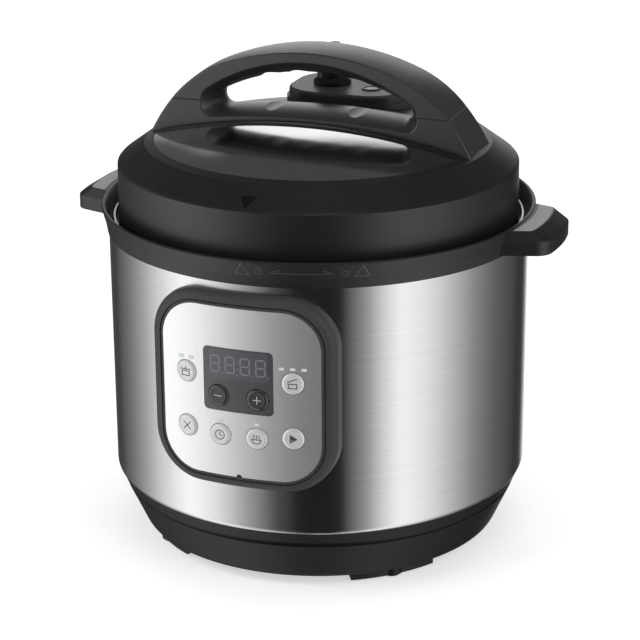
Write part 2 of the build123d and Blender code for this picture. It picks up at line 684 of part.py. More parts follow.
def control_board():
    board = slab(rounded(94, 100, 17, PANEL_Z), -BOARD_FRONT, -BOARD_FRONT + BOARD_SHEET)
    for x, z in BOARD_POSTS:
        board -= panel_rod(SCREW_SHANK + FIT_GAP, BOARD_FRONT + 1, BOARD_FRONT - 3, (x, PANEL_Z + z))
    return board


def board_screws():
    back = BOARD_FRONT - BOARD_SHEET
    screws = []
    for x, z in BOARD_POSTS:
        at = (x, PANEL_Z + z)
        head = panel_rod(2.8, back, back - 1.8, at)
        screws.append(head + panel_rod(SCREW_SHANK, BOARD_FRONT + 3, back, at))
    return group(screws)


# The foot of a key's stem stands a little above its switch on the flat board
def key_foot(x):
    tilt = abs(lean(x))
    return (BOARD_FRONT + 2.6 + PANEL_AXIS + 1.8 * sin(tilt)) / cos(tilt) - PANEL_AXIS


def tact_switches():
    switches = []
    for x, z in button_places():
        under = (key_foot(x) + PANEL_AXIS) * sin(lean(x))
        body = slab(Pos(under, z) * Rectangle(6, 6), -BOARD_FRONT - 1.2, -BOARD_FRONT)
        switches.append(body + panel_rod(1.7, BOARD_FRONT + 1.7, BOARD_FRONT, (under, z)))
    return group(switches)


def button(at):
    front = PANEL_FRONT + BUTTON_PROUD
    wall_back = PANEL_FRONT - PLATE_SHEET - BEZEL_WALL
    collar = BUTTON_RADIUS + 1.1
    flange = sqrt((wall_back + PANEL_AXIS) ** 2 - collar ** 2) - PANEL_AXIS - FIT_GAP
    back = key_foot(at[0])
    brow = (BUTTON_RADIUS - 2.1, front)
    shoulder = (BUTTON_RADIUS, front - 1.0)
    outline = (Polyline((0, back), (1.8, back), (1.8, flange - 0.8), (collar, flange - 0.8),
                        (collar, flange), (BUTTON_RADIUS, flange), shoulder)
               + TangentArc(brow, shoulder, tangent=(1, 0))
               + Polyline(brow, (brow[0] - 0.3, front - SIGN_RECESS), (0, front - SIGN_RECESS), (0, back)))
    return leaning(at[0], Pos(0, 0, at[1]) * Rot(90, 0, 0) * turned(outline))


# Lid cover, its steel crescent and the pressure parts under it

def dome_height(radius, depth=0.0):
    return DOME_TOP - DOME_RADIUS + sqrt((DOME_RADIUS - depth) ** 2 - radius ** 2)


def dome_arc(outer, depth=0.0):
    middle = outer / 2
    return ThreePointArc((outer, dome_height(outer, depth)), (middle, dome_height(middle, depth)),
                         (0, dome_height(0, depth)))


def dome_layer(outer, top_depth, bottom_depth):
    top = dome_arc(outer, top_depth)
    bottom = dome_arc(outer, bottom_depth)
    sides = (Line((outer, dome_height(outer, top_depth)), (outer, dome_height(outer, bottom_depth)))
             + Line((0, dome_height(0, top_depth)), (0, dome_height(0, bottom_depth))))
    return turned(top + bottom + sides)


def lid_outside():
    foot = LID_RADIUS + LID_DRAFT
    outline = (Polyline((0, LID_BOTTOM), (foot, LID_BOTTOM), (LID_RADIUS + 0.1, LID_EDGE - 1.2),
                        (LID_RADIUS - 1.0, LID_EDGE), (BEVEL_RADIUS, BEVEL_TOP))
               + dome_arc(BEVEL_RADIUS) + Line((0, DOME_TOP), (0, LID_BOTTOM)))
    return turned(outline)


def lid_inside():
    wall = PLASTIC_WALL
    shoulder = BEVEL_RADIUS - 1.6
    outline = (Polyline((0, LID_BOTTOM - 1), (LID_RADIUS + LID_DRAFT - wall, LID_BOTTOM - 1),
                        (LID_RADIUS - wall, LID_EDGE - 2.2), (shoulder, dome_height(shoulder, wall)))
               + dome_arc(shoulder, wall) + Line((0, dome_height(0, wall)), (0, LID_BOTTOM - 1)))
    return turned(outline)


def in_front_of(y, thing):
    reach = BODY_RADIUS * 2
    return thing & block((-reach, reach), (-reach, -y), (0, HANDLE_TOP * 2))


def lid_cover():
    cover = lid_outside() - lid_inside()
    recess = dome_layer(CRESCENT_RADIUS + FIT_GAP, -3.0, CRESCENT_DEPTH)
    cover -= in_front_of(CRESCENT_BACK - FIT_GAP, recess)
    bead = dome_layer(CRESCENT_RADIUS - 2, -0.9, 0.5)
    cover += bead & block((-BODY_RADIUS, BODY_RADIUS), (-CRESCENT_BACK + 0.8, -HANDLE_HALF_BASE - 1.0),
                          (0, HANDLE_TOP))
    for angle in DIAGONALS:
        at = around(LID_POST_CIRCLE, angle)
        cover += cylinder(LID_POST_RADIUS, INNER_TOP, dome_height(LID_POST_CIRCLE, 2.3), at)
        cover -= cylinder(SCREW_SHANK + 0.1, INNER_TOP - 1, INNER_TOP + 14, at)
    cover -= cylinder(PIPE_RADIUS + 1, INNER_TOP, DECK_TOP, KNOB_AT)
    return cover - cylinder(FLOAT_BUSH_RADIUS, INNER_TOP, DECK_TOP, FLOAT_AT)


def crescent_plate():
    return in_front_of(CRESCENT_BACK, dome_layer(CRESCENT_RADIUS, 0.2, CRESCENT_DEPTH - SEAT_GAP))


def lid_inner():
    sheet = POT_SHEET
    outside = SKIRT_RADIUS + PRESSED_SHEET
    step = POT_RADIUS - 6.0
    skirt_low = LID_LUG_TOP - 2.0
    lid = turned_points(
        (0, INNER_TOP - sheet), (INNER_FLAT, INNER_TOP - sheet), (step, SEAL_TOP),
        (SKIRT_RADIUS, SEAL_TOP), (SKIRT_RADIUS, skirt_low), (outside, skirt_low),
        (outside, SEAL_TOP + sheet), (step + 0.8, SEAL_TOP + sheet), (INNER_FLAT + 0.8, INNER_TOP),
        (0, INNER_TOP))
    for index in range(LUG_COUNT):
        lid += sector(LID_LUG_RADIUS, SKIRT_RADIUS + 0.5, skirt_low, LID_LUG_TOP,
                      index * 360 / LUG_COUNT, LID_LUG_HALF_ANGLE)
    for angle in DIAGONALS:
        lid -= cylinder(SCREW_SHANK + FIT_GAP, INNER_TOP - 5, INNER_TOP + 1, around(LID_POST_CIRCLE, angle))
    lid -= cylinder(PIPE_RADIUS + 0.05, INNER_TOP - 5, INNER_TOP + 1, KNOB_AT)
    return lid - cylinder(FLOAT_STEM + MOVING_GAP, INNER_TOP - 5, INNER_TOP + 1, FLOAT_AT)


def lid_screws():
    under = INNER_TOP - POT_SHEET
    screw = cylinder(3.6, under - 2, under) + cylinder(SCREW_SHANK, under, INNER_TOP + 12)
    return group(Pos(*around(LID_POST_CIRCLE, angle), 0) * screw for angle in DIAGONALS)


def sealing_ring():
    rim = FLANGE_TOP + POT_SHEET
    return turned_points(
        (POT_RADIUS - 3.5, SEAL_TOP), (SKIRT_RADIUS - 1.5, SEAL_TOP), (SKIRT_RADIUS - 1.5, rim + 2.4),
        (POT_RADIUS + 7.5, rim), (POT_RADIUS + 1, rim), (POT_RADIUS + 1, rim + 1.9),
        (POT_RADIUS - 3.5, rim + 1.9))


def seal_rack():
    wire = 1.5
    return Pos(0, 0, FLANGE_TOP + POT_SHEET + 1.9 - wire) * Torus(POT_RADIUS - 1.8, wire)


def steam_pipe():
    under = INNER_TOP - POT_SHEET
    pipe = cylinder(PIPE_RADIUS, under - 9, DECK_TOP + 12, KNOB_AT)
    pipe += cylinder(8, INNER_TOP, INNER_TOP + 2.5, KNOB_AT)
    pipe += cylinder(6.5, under - 3.5, under, KNOB_AT)
    return pipe - cylinder(1.6, under - 13, DECK_TOP + 13, KNOB_AT)


def anti_block_shield():
    under = INNER_TOP - POT_SHEET
    low = FLANGE_TOP + 3.0
    shield = cylinder(11, low, under, KNOB_AT) - cylinder(9.8, low + 1.2, under + 1, KNOB_AT)
    for step in range(-3, 4):
        slot = block((KNOB_AT[0] - 15, KNOB_AT[0] + 15), (KNOB_AT[1] + step * 2.8 - 0.6,
                     KNOB_AT[1] + step * 2.8 + 0.6), (low + 4, under - 3))
        shield -= slot
    return shield


# Lid handle

def arch_section(y, drop):
    top = HANDLE_TOP - drop
    shoulder = (SHOULDER_HALF, top - SHOULDER_DROP)
    hip = (SEAM_HALF - 1.7, SEAM_Z + 2.0)
    end = (HANDLE_END, BEVEL_TOP - 2.0)
    low = BEVEL_TOP - 20
    crown = ThreePointArc((-shoulder[0], shoulder[1]), (0, top), shoulder)
    bend = TangentArc(shoulder, hip, tangent=crown % 1)
    side = TangentArc(hip, end, tangent=bend % 1)
    foot = Polyline(end, (end[0], low), (-end[0], low), (-end[0], end[1]))
    outline = crown + bend + side + foot + mirror(bend, Plane.YZ) + mirror(side, Plane.YZ)
    return upright(y) * make_face(outline)


def opening_section(y, half, sill, sill_drop, top, top_drop, low_corner, high_corner):
    bottom = ThreePointArc((-half, sill - sill_drop), (0, sill), (half, sill - sill_drop))
    ceiling = ThreePointArc((-half, top - top_drop), (0, top), (half, top - top_drop))
    ends = (Line((-half, sill - sill_drop), (-half, top - top_drop))
            + Line((half, sill - sill_drop), (half, top - top_drop)))
    outline = make_face(bottom + ceiling + ends)
    outline = fillet(outline.vertices().group_by(Axis.Y)[0], low_corner)
    corners = [v for v in outline.vertices() if abs(v.Y - (top - top_drop)) < 0.01]
    return upright(y) * fillet(corners, high_corner)


def handle_opening():
    face = HANDLE_HALF_BASE
    front = opening_section(-face, OPENING_HALF, DOME_TOP + 1.8, 4.7, OPENING_TOP, 26.0, 8.0, 10.0)
    waist = opening_section(0, OPENING_WAIST, DOME_TOP + 6.0, 4.0, WAIST_TOP, WAIST_DROP, 5.4, 5.4)
    back = opening_section(face, OPENING_HALF, DOME_TOP + 1.8, 4.7, OPENING_TOP, 26.0, 8.0, 10.0)
    return loft([front, waist, back])


def grip_grooves():
    curve = (OPENING_WAIST ** 2 + WAIST_DROP ** 2) / (2 * WAIST_DROP)
    grooves = []
    for index in range(GROOVE_COUNT):
        x = (index - (GROOVE_COUNT - 1) / 2) * GROOVE_PITCH
        underside = WAIST_TOP - curve + sqrt(curve ** 2 - x ** 2)
        groove = Pos(x, underside + GROOVE_DEPTH - GROOVE_RADIUS) * Circle(GROOVE_RADIUS)
        grooves.append(slab(groove, -HANDLE_HALF_BASE - 9, HANDLE_HALF_BASE + 9))
    return union(grooves)


def handle_flank():
    rise = HANDLE_TOP - BEVEL_TOP
    lean = (HANDLE_HALF_BASE - HANDLE_HALF_TOP) / rise
    low = BEVEL_TOP - 25
    high = HANDLE_TOP + 10
    wide = HANDLE_HALF_BASE + lean * 25
    narrow = HANDLE_HALF_TOP - lean * 10
    side = make_face(Polyline((-wide, low), (wide, low), (narrow, high), (-narrow, high), close=True))
    return extrude(Plane.YZ * side, amount=BODY_RADIUS * 2, both=True)


def handle_body():
    span = HANDLE_HALF_BASE + 3
    body = loft([arch_section(-span, CROWN_DROP), arch_section(0, 0), arch_section(span, CROWN_DROP)])
    body = body & handle_flank()
    flank = HANDLE_HALF_TOP - 3
    creases = [e for e in body.edges() if abs(e.center().Y) > flank and e.center().Z > BEVEL_TOP - 15]
    body = fillet(creases, CREASE_ROUND)
    opening = handle_opening()
    body -= opening
    mouth = [e for e in body.edges() if abs(e.center().Y) > flank and opening.distance_to(e @ 0.5) < 0.01]
    body = fillet(mouth, MOUTH_ROUND)
    return body - lid_outside() - grip_grooves()


def handle_part(side):
    part = split(handle_body(), Plane.XY.offset(SEAM_Z), keep=side)
    seam_faces = [f for f in part.faces().filter_by(GeomType.PLANE) if abs(f.center().Z - SEAM_Z) < 0.01]
    return chamfer([e for f in seam_faces for e in f.edges()], SEAM_GROOVE)


def handle_base():
    return handle_part(Keep.BOTTOM)


def handle_grip():
    return handle_part(Keep.TOP)


# Valve platform, steam knob and float valve

def platform_outline(inset):
    wide = 2 * (DECK_HALF - inset)
    deep = DECK_BACK - DECK_FRONT - 2 * inset
    return Pos(0, (DECK_FRONT + DECK_BACK) / 2) * RectangleRounded(wide, deep, DECK_CORNER - inset)


def valve_platform():
    low = BEVEL_TOP - 20
    platform = extrude(Pos(0, 0, low) * platform_outline(0), amount=DECK_TOP - low)
    platform = fillet(platform.faces().sort_by(Axis.Z)[-1].edges(), 2.0)
    platform += extrude(Pos(0, 0, low) * platform_outline(-DECK_FOOT), amount=DECK_TOP - DECK_STEP - low)
    hollow = extrude(Pos(0, 0, low - 1) * platform_outline(PLASTIC_WALL),
                     amount=DECK_TOP - PLASTIC_WALL - low + 1)
    platform -= hollow
    platform -= lid_outside()
    platform -= cylinder(PIPE_RADIUS + 1, low, DECK_TOP + 1, KNOB_AT)
    return platform - cylinder(FLOAT_BUSH_RADIUS - 0.8, low, DECK_TOP + 1, FLOAT_AT)


def steam_knob():
    low = DECK_TOP + 0.5
    top = low + KNOB_HEIGHT
    knob = turned_points(
        (PIPE_RADIUS + MOVING_GAP, low), (KNOB_FOOT_RADIUS, low), (KNOB_FOOT_RADIUS, low + 2.2),
        (KNOB_RADIUS, low + 4.4), (KNOB_RADIUS, top - 6.2), (KNOB_RADIUS - 1.2, top - 5.0), (0, top - 5.0),
        (0, low + 13), (PIPE_RADIUS + MOVING_GAP, low + 13))
    lever = block((-3, 3), (-KNOB_RADIUS - 4, KNOB_RADIUS - 1.5), (top - 8, top))
    lever = fillet(lever.edges().filter_by(Axis.Z), 2.6)
    return Pos(*KNOB_AT, 0) * (knob + lever)


def float_bush():
    collar = cylinder(FLOAT_BUSH_RADIUS, DECK_TOP, DECK_TOP + 0.8, FLOAT_AT)
    bush = collar + cylinder(FLOAT_BUSH_RADIUS - 1, DECK_TOP - 6, DECK_TOP, FLOAT_AT)
    bush -= cylinder(FLOAT_HEAD_RADIUS + MOVING_GAP, DECK_TOP - 2, DECK_TOP + 2, FLOAT_AT)
    return bush - cylinder(FLOAT_STEM + MOVING_GAP, DECK_TOP - 7, DECK_TOP, FLOAT_AT)


def float_valve():
    under = INNER_TOP - POT_SHEET
    head = cylinder(FLOAT_HEAD_RADIUS, DECK_TOP - 2, DECK_TOP + 0.4, FLOAT_AT)
    return head + cylinder(FLOAT_STEM, under - FLOAT_TRAVEL - 6, DECK_TOP - 2, FLOAT_AT)


def float_gasket():
    top = INNER_TOP - POT_SHEET - FLOAT_TRAVEL - 0.5
    return tube(FLOAT_STEM, 5.5, top - 4, top, FLOAT_AT)


# The finished pieces, one file each

def pieces():
    made = {
        "base_housing": base_housing(),
        "foot_pads": foot_pads(),
        "bottom_cover": bottom_cover(),
        "cover_screws": cover_screws(),
        "outer_shell": outer_shell(),
        "top_rim": top_rim(),
        "ear_inlay_right": ear_inlay(0),
        "ear_inlay_left": ear_inlay(180),
        "drip_trough": drip_trough(),
        "drain_tube": drain_tube(),
        "pot_housing": pot_housing(),
        "support_posts": support_posts(),
        "inner_pot": inner_pot(),
        "heating_plate": heating_plate(),
        "heating_element": heating_element(),
        "temperature_sensor": temperature_sensor(),
        "sensor_spring": sensor_spring(),
        "thermal_cutout": thermal_cutout(),
        "pressure_switch": pressure_switch(),
        "power_board": power_board(),
        "inlet_socket": inlet_socket(),
        "inlet_pins": inlet_pins(),
        "cup_dock": cup_dock(),
        "drip_cup": drip_cup(),
        "panel_bezel": panel_bezel(),
        "panel_plate": panel_plate(),
        "display_window": display_window(),
        "display_module": display_module(),
        "indicator_lenses": indicator_lenses(),
        "control_board": control_board(),
        "board_screws": board_screws(),
        "tact_switches": tact_switches(),
        "lid_cover": lid_cover(),
        "crescent_plate": crescent_plate(),
        "lid_inner": lid_inner(),
        "lid_screws": lid_screws(),
        "sealing_ring": sealing_ring(),
        "seal_rack": seal_rack(),
        "steam_pipe": steam_pipe(),
        "anti_block_shield": anti_block_shield(),
        "handle_base": handle_base(),
        "handle_grip": handle_grip(),
        "valve_platform": valve_platform(),
        "steam_knob": steam_knob(),
        "float_bush": float_bush(),
        "float_valve": float_valve(),
        "float_gasket": float_gasket(),
    }
    for name, (x, z) in BUTTONS.items():
        made[name] = button((x, PANEL_Z + z))
    return made


os.makedirs("parts", exist_ok=True)
for node, shape in pieces().items():
    export_step(shape, f"parts/{node}.step")
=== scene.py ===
import math
import bpy
from bpy.props import FloatProperty, FloatVectorProperty, PointerProperty
from mathutils import Matrix, Quaternion, Vector


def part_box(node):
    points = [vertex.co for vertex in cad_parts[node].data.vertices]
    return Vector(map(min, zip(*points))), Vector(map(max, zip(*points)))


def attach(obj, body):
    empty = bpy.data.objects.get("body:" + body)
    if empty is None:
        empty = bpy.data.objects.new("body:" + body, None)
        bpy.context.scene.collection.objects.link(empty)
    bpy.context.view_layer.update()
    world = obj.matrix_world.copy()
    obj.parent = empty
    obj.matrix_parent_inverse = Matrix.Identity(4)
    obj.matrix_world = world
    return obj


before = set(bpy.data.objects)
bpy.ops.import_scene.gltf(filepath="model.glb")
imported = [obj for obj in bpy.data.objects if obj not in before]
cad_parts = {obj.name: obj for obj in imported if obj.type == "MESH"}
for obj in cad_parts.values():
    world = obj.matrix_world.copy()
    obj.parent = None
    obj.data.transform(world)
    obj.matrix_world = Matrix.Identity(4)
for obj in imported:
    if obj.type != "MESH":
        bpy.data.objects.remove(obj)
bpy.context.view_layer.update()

# Finishes, printed marks and a small studio for an electric pressure cooker. Metres, +Z up, the front
# faces -Y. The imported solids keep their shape; this file gives them their surfaces and adds the prints.

bl_info = {
    "name": "Electric Pressure Cooker",
    "version": (1, 0, 0),
    "blender": (4, 5, 0),
    "location": "3D View > Sidebar > Cooker",
    "description": "Surface finishes, printed marks and studio for an electric pressure cooker",
    "category": "Object",
}

MM = 0.001
PANEL_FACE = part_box("panel_plate")[0].y
# The panel is bent round an upright axis; the widest ring of a key and its sign lie this far from it
PANEL_AXIS = PANEL_FACE + 190.0 * MM
KEY_COLLAR = 186.0 * MM
KEY_FACE = 191.1 * MM
WINDOW_LOW, WINDOW_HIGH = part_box("display_window")
SILVER_KEYS = ("button_upper_left", "button_upper_right", "button_outer_left", "button_outer_right",
               "button_inner_left", "button_inner_right")
SMOKED_KEYS = ("button_minus", "button_plus")
# Where the marks lie on the window, the rim and the lid
CELL_WIDE = 38.0 * MM
CELL_TALL = 18.6 * MM
CELL_DROP = 10.4 * MM
CELL_SHIFT = 0.3 * MM
CELL_CORNER = 1.4 * MM
DOT_RADIUS = 0.5 * MM
RIM_RADIUS = 138.2 * MM
RIM_SLOPE = (0.24, 0.971)
RIM_MARK_DROP = 5.7 * MM
RIM_LOCK_SHIFT = 10.4 * MM
RIM_TRIANGLE_WIDE = 9.6 * MM
RIM_TRIANGLE_DROP = 0.9 * MM
RIM_ARROW_REACH = 18.9 * MM
RIM_ARROW_LEVEL = -1.4 * MM
RIM_ARROWHEAD_LONG = 6.0 * MM
RIM_ARROWHEAD_TALL = 2.4 * MM
LID_ARROW_PLACE = (0.0, -121.0 * MM, 252.2 * MM)
LID_ARROW_UP = (0.0, 0.809, 0.588)
LID_ARROW_CORNER = 0.6 * MM
LID_ARROW_HEIGHT = 0.12 * MM
# A flat shape is cut into columns this wide before it is laid on a curved face
COLUMN = 1.5 * MM


# Colours and patterns

def linear(hex_colour):
    """An sRGB hex colour as linear red, green, blue and alpha."""
    channels = [int(hex_colour[i:i + 2], 16) / 255 for i in (0, 2, 4)]
    curved = [c / 12.92 if c <= 0.04045 else ((c + 0.055) / 1.055) ** 2.4 for c in channels]
    return (*curved, 1.0)


def shade(colour, amount):
    """A lighter or darker copy of a colour."""
    return (*[min(1.0, channel * amount) for channel in colour[:3]], 1.0)


def grey(level):
    """An opaque grey."""
    return (level, level, level, 1.0)


def repeats(size_mm):
    """The texture scale at which one feature measures size_mm on the object."""
    return 1.0 / (size_mm * MM)


def node(tree, kind, inputs=None, **settings):
    """Adds a node, applies its settings, and sets or links its inputs."""
    made = tree.nodes.new(kind)
    for name, value in settings.items():
        setattr(made, name, value)
    for socket, value in (inputs or {}).items():
        if isinstance(value, bpy.types.NodeSocket):
            tree.links.new(value, made.inputs[socket])
        else:
            made.inputs[socket].default_value = value
    return made


def new_finish(name, sockets):
    """A material whose shader has the given constant sockets."""
    finish = bpy.data.materials.new(name)
    finish.use_nodes = True
    shader = finish.node_tree.nodes["Principled BSDF"]
    for socket, value in sockets.items():
        shader.inputs[socket].default_value = value
    return finish, finish.node_tree, shader


# Sizes and colours that a user would change

def colour_setting(name, hex_colour, note):
    return FloatVectorProperty(name=name, description=note, subtype="COLOR", size=4, min=0.0, max=1.0,
                               default=linear(hex_colour))


def length_setting(name, millimetres, note):
    return FloatProperty(name=name, description=note, default=millimetres * MM, min=0.0, precision=5,
                         unit="LENGTH", subtype="DISTANCE")


def angle_setting(name, degrees, note):
    return FloatProperty(name=name, description=note, default=math.radians(degrees), subtype="ANGLE")


def number_setting(name, value, note):
    return FloatProperty(name=name, description=note, default=value, min=0.0)


class CookerFinish(bpy.types.PropertyGroup):
    """Colours of the cooker's materials"""
    body_black: colour_setting("Body black", "1e1e1f", "Moulded rim")
    # The base's black is the rim's black painted darker: painted shade near the floor
    base_black_painted_shade: colour_setting("Base black", "0c0c0d", "Moulded base")
    lid_black: colour_setting("Lid black", "1b1b1c", "Moulded lid cover")
    handle_black: colour_setting("Handle black", "323234", "Satin handle and valve platform")
    bezel_grey: colour_setting("Bezel grey", "464648", "Moulded frame of the control panel")
    inlay_grey: colour_setting("Inlay grey", "999a9c", "Soft inlays on the carrying ears")
    steel: colour_setting("Steel", "d0d0cf", "Brushed shell and other stainless steel")
    panel_silver: colour_setting("Panel silver", "eeeff1", "Film of the control panel and its keys")
    window_smoke: colour_setting("Window smoke", "4a4b4e", "Smoked display window")
    ink_dark: colour_setting("Dark ink", "47484b", "Pictograms on the silver keys")
    ink_light: colour_setting("Light ink", "c9cbce", "Signs on the smoked keys")
    silicone: colour_setting("Silicone", "e4e4e0", "Sealing ring and gasket")


class CookerMarks(bpy.types.PropertyGroup):
    """Sizes of the printed and raised marks"""
    ink: length_setting("Ink thickness", 0.04, "Height of a printed mark")
    relief: length_setting("Raised line", 0.22, "Height of a moulded line on the rim")
    key_stroke: length_setting("Key stroke", 0.55, "Line width of the pictograms on the keys")
    rim_stroke: length_setting("Rim stroke", 0.6, "Line width of the marks on the rim")
    digit_height: length_setting("Digit height", 11.0, "Height of a display digit")
    digit_width: length_setting("Digit width", 6.6, "Width of a display digit")
    digit_stroke: length_setting("Digit stroke", 0.9, "Width of one bar of a digit")
    digit_pitch: length_setting("Digit pitch", 9.8, "Distance between display digits")
    lid_arrow: length_setting("Lid arrow", 11.0, "Width of the arrow on the lid")
    rim_closed_angle: angle_setting("Closed mark", 1.0, "Place of the closed mark, from the front towards +X")
    rim_open_angle: angle_setting("Open mark", 30.0, "Turn from the closed mark to the open mark")


class CookerStudio(bpy.types.PropertyGroup):
    """Camera and light"""
    lens: number_setting("Lens", 122.94, "Focal length in millimetres on a 36 mm sensor")
    azimuth: angle_setting("Azimuth", 20.3, "Camera direction from the front, towards +X")
    elevation: angle_setting("Elevation", 19.707, "Camera height above the target")
    distance: length_setting("Distance", 1435.47, "Camera distance from the target")
    roll: angle_setting("Roll", -0.363, "Turn of the camera about its own axis")
    key_power: number_setting("Key lamp", 15.0, "Power of the large lamp on the left, in watts")
    fill_power: number_setting("Fill lamp", 10.0, "Power of the lamp on the right, in watts")
    top_power: number_setting("Top lamp", 9.0, "Power of the lamp above, in watts")
    ambient: number_setting("Ambient", 0.42, "Light from all around, where 1 is white")
    tent_level: number_setting("Tent", 1.6, "Brightness of the panels that the metal mirrors")


# Materials

def moulded_plastic(name, colour, roughness, grain_mm, relief_mm, specular=0.5):
    """Injection-moulded plastic: an even spark-eroded grain spreads the highlights, with flow clouds."""
    finish, tree, shader = new_finish(name, {"Specular IOR Level": specular})
    place = node(tree, "ShaderNodeTexCoord").outputs["Object"]
    clouds = node(tree, "ShaderNodeTexNoise", {"Vector": place, "Scale": repeats(38), "Detail": 3.0})
    tint = node(tree, "ShaderNodeMix", {0: clouds.outputs["Fac"], 6: shade(colour, 0.86),
                                        7: shade(colour, 1.14)}, data_type="RGBA")
    grain = node(tree, "ShaderNodeTexNoise", {"Vector": place, "Scale": repeats(grain_mm), "Detail": 2.0,
                                              "Roughness": 0.6})
    gloss = node(tree, "ShaderNodeMapRange", {"Value": grain.outputs["Fac"], "From Min": 0.3, "From Max": 0.7,
                                              "To Min": roughness - 0.05, "To Max": roughness + 0.05})
    bump = node(tree, "ShaderNodeBump", {"Height": grain.outputs["Fac"], "Strength": 0.5,
                                         "Distance": relief_mm * MM})
    tree.links.new(tint.outputs[2], shader.inputs["Base Color"])
    tree.links.new(gloss.outputs["Result"], shader.inputs["Roughness"])
    tree.links.new(bump.outputs["Normal"], shader.inputs["Normal"])
    return finish


def brushed_steel(name, colour, roughness, streak_mm, length_mm, blur, upright_blur):
    """Brushed or rolled stainless steel: hairlines run round the body, so lamps smear across them into
    tall soft bars. A real hairline is about 0.1 mm and is drawn wider here so that it shows."""
    finish, tree, shader = new_finish(name, {"Metallic": 1.0, "Anisotropic": blur,
                                             "Anisotropic Rotation": 0.25 if upright_blur else 0.0})
    place = node(tree, "ShaderNodeTexCoord").outputs["Object"]
    hair_place = node(tree, "ShaderNodeMapping", {"Vector": place, "Scale": (repeats(length_mm),
                      repeats(length_mm), repeats(streak_mm))})
    hair = node(tree, "ShaderNodeTexNoise", {"Vector": hair_place.outputs["Vector"], "Scale": 1.0,
                                             "Detail": 3.0, "Roughness": 0.65})
    band_place = node(tree, "ShaderNodeMapping", {"Vector": place, "Scale": (repeats(length_mm * 4),
                      repeats(length_mm * 4), repeats(streak_mm * 4))})
    band = node(tree, "ShaderNodeTexNoise", {"Vector": band_place.outputs["Vector"], "Scale": 1.0,
                                             "Detail": 2.0})
    both = node(tree, "ShaderNodeMath", {0: hair.outputs["Fac"], 1: band.outputs["Fac"]}, operation="ADD")
    spread = node(tree, "ShaderNodeMapRange", {"Value": both.outputs["Value"], "From Min": 0.7,
                                               "From Max": 1.3})
    tint = node(tree, "ShaderNodeMix", {0: spread.outputs["Result"], 6: shade(colour, 0.965),
                                        7: shade(colour, 1.03)}, data_type="RGBA")
    gloss = node(tree, "ShaderNodeMapRange", {"Value": spread.outputs["Result"], "To Min": roughness * 0.95,
                                              "To Max": roughness * 1.06})
    bump = node(tree, "ShaderNodeBump", {"Height": hair.outputs["Fac"], "Strength": 0.1,
                                         "Distance": 0.006 * MM})
    turn = node(tree, "ShaderNodeTangent", direction_type="RADIAL", axis="Z")
    tree.links.new(tint.outputs[2], shader.inputs["Base Color"])
    tree.links.new(gloss.outputs["Result"], shader.inputs["Roughness"])
    tree.links.new(bump.outputs["Normal"], shader.inputs["Normal"])
    tree.links.new(turn.outputs["Tangent"], shader.inputs["Tangent"])
    return finish


def worked_metal(name, colour, roughness, grain_mm, relief_mm):
    """Cast, pressed or turned metal: a fine uneven skin that breaks up the reflections."""
    finish, tree, shader = new_finish(name, {"Metallic": 1.0})
    place = node(tree, "ShaderNodeTexCoord").outputs["Object"]
    skin = node(tree, "ShaderNodeTexNoise", {"Vector": place, "Scale": repeats(grain_mm), "Detail": 4.0})
    stain = node(tree, "ShaderNodeTexNoise", {"Vector": place, "Scale": repeats(grain_mm * 14),
                                              "Detail": 2.0})
    tint = node(tree, "ShaderNodeMix", {0: stain.outputs["Fac"], 6: shade(colour, 0.9),
                                        7: shade(colour, 1.1)}, data_type="RGBA")
    gloss = node(tree, "ShaderNodeMapRange", {"Value": skin.outputs["Fac"], "From Min": 0.3, "From Max": 0.7,
                                              "To Min": roughness * 0.85, "To Max": roughness * 1.2})
    bump = node(tree, "ShaderNodeBump", {"Height": skin.outputs["Fac"], "Strength": 0.3,
                                         "Distance": relief_mm * MM})
    tree.links.new(tint.outputs[2], shader.inputs["Base Color"])
    tree.links.new(gloss.outputs["Result"], shader.inputs["Roughness"])
    tree.links.new(bump.outputs["Normal"], shader.inputs["Normal"])
    return finish


def silver_film(name, colour, metal, roughness, coat):
    """Metallised polycarbonate film: satin flakes under a clear gloss skin that mirrors lamp edges."""
    finish, tree, shader = new_finish(name, {"Metallic": metal, "Coat Weight": coat, "Coat Roughness": 0.05,
                                             "Coat IOR": 1.5})
    place = node(tree, "ShaderNodeTexCoord").outputs["Object"]
    flakes = node(tree, "ShaderNodeTexVoronoi", {"Vector": place, "Scale": repeats(0.5)})
    tint = node(tree, "ShaderNodeMix", {0: flakes.outputs["Distance"], 6: shade(colour, 1.05),
                                        7: shade(colour, 0.93)}, data_type="RGBA")
    gloss = node(tree, "ShaderNodeMapRange", {"Value": flakes.outputs["Distance"], "To Min": roughness - 0.05,
                                              "To Max": roughness + 0.05})
    tree.links.new(tint.outputs[2], shader.inputs["Base Color"])
    tree.links.new(gloss.outputs["Result"], shader.inputs["Roughness"])
    return finish


def smoked_film(name, colour, specular):
    """Smoked acrylic: a dark body with a polished face, and the faint mottling of its tint."""
    finish, tree, shader = new_finish(name, {"Specular IOR Level": specular})
    place = node(tree, "ShaderNodeTexCoord").outputs["Object"]
    mottle = node(tree, "ShaderNodeTexNoise", {"Vector": place, "Scale": repeats(6), "Detail": 3.0})
    tint = node(tree, "ShaderNodeMix", {0: mottle.outputs["Fac"], 6: shade(colour, 0.9),
                                        7: shade(colour, 1.1)}, data_type="RGBA")
    gloss = node(tree, "ShaderNodeMapRange", {"Value": mottle.outputs["Fac"], "To Min": 0.05, "To Max": 0.09})
    tree.links.new(tint.outputs[2], shader.inputs["Base Color"])
    tree.links.new(gloss.outputs["Result"], shader.inputs["Roughness"])
    return finish


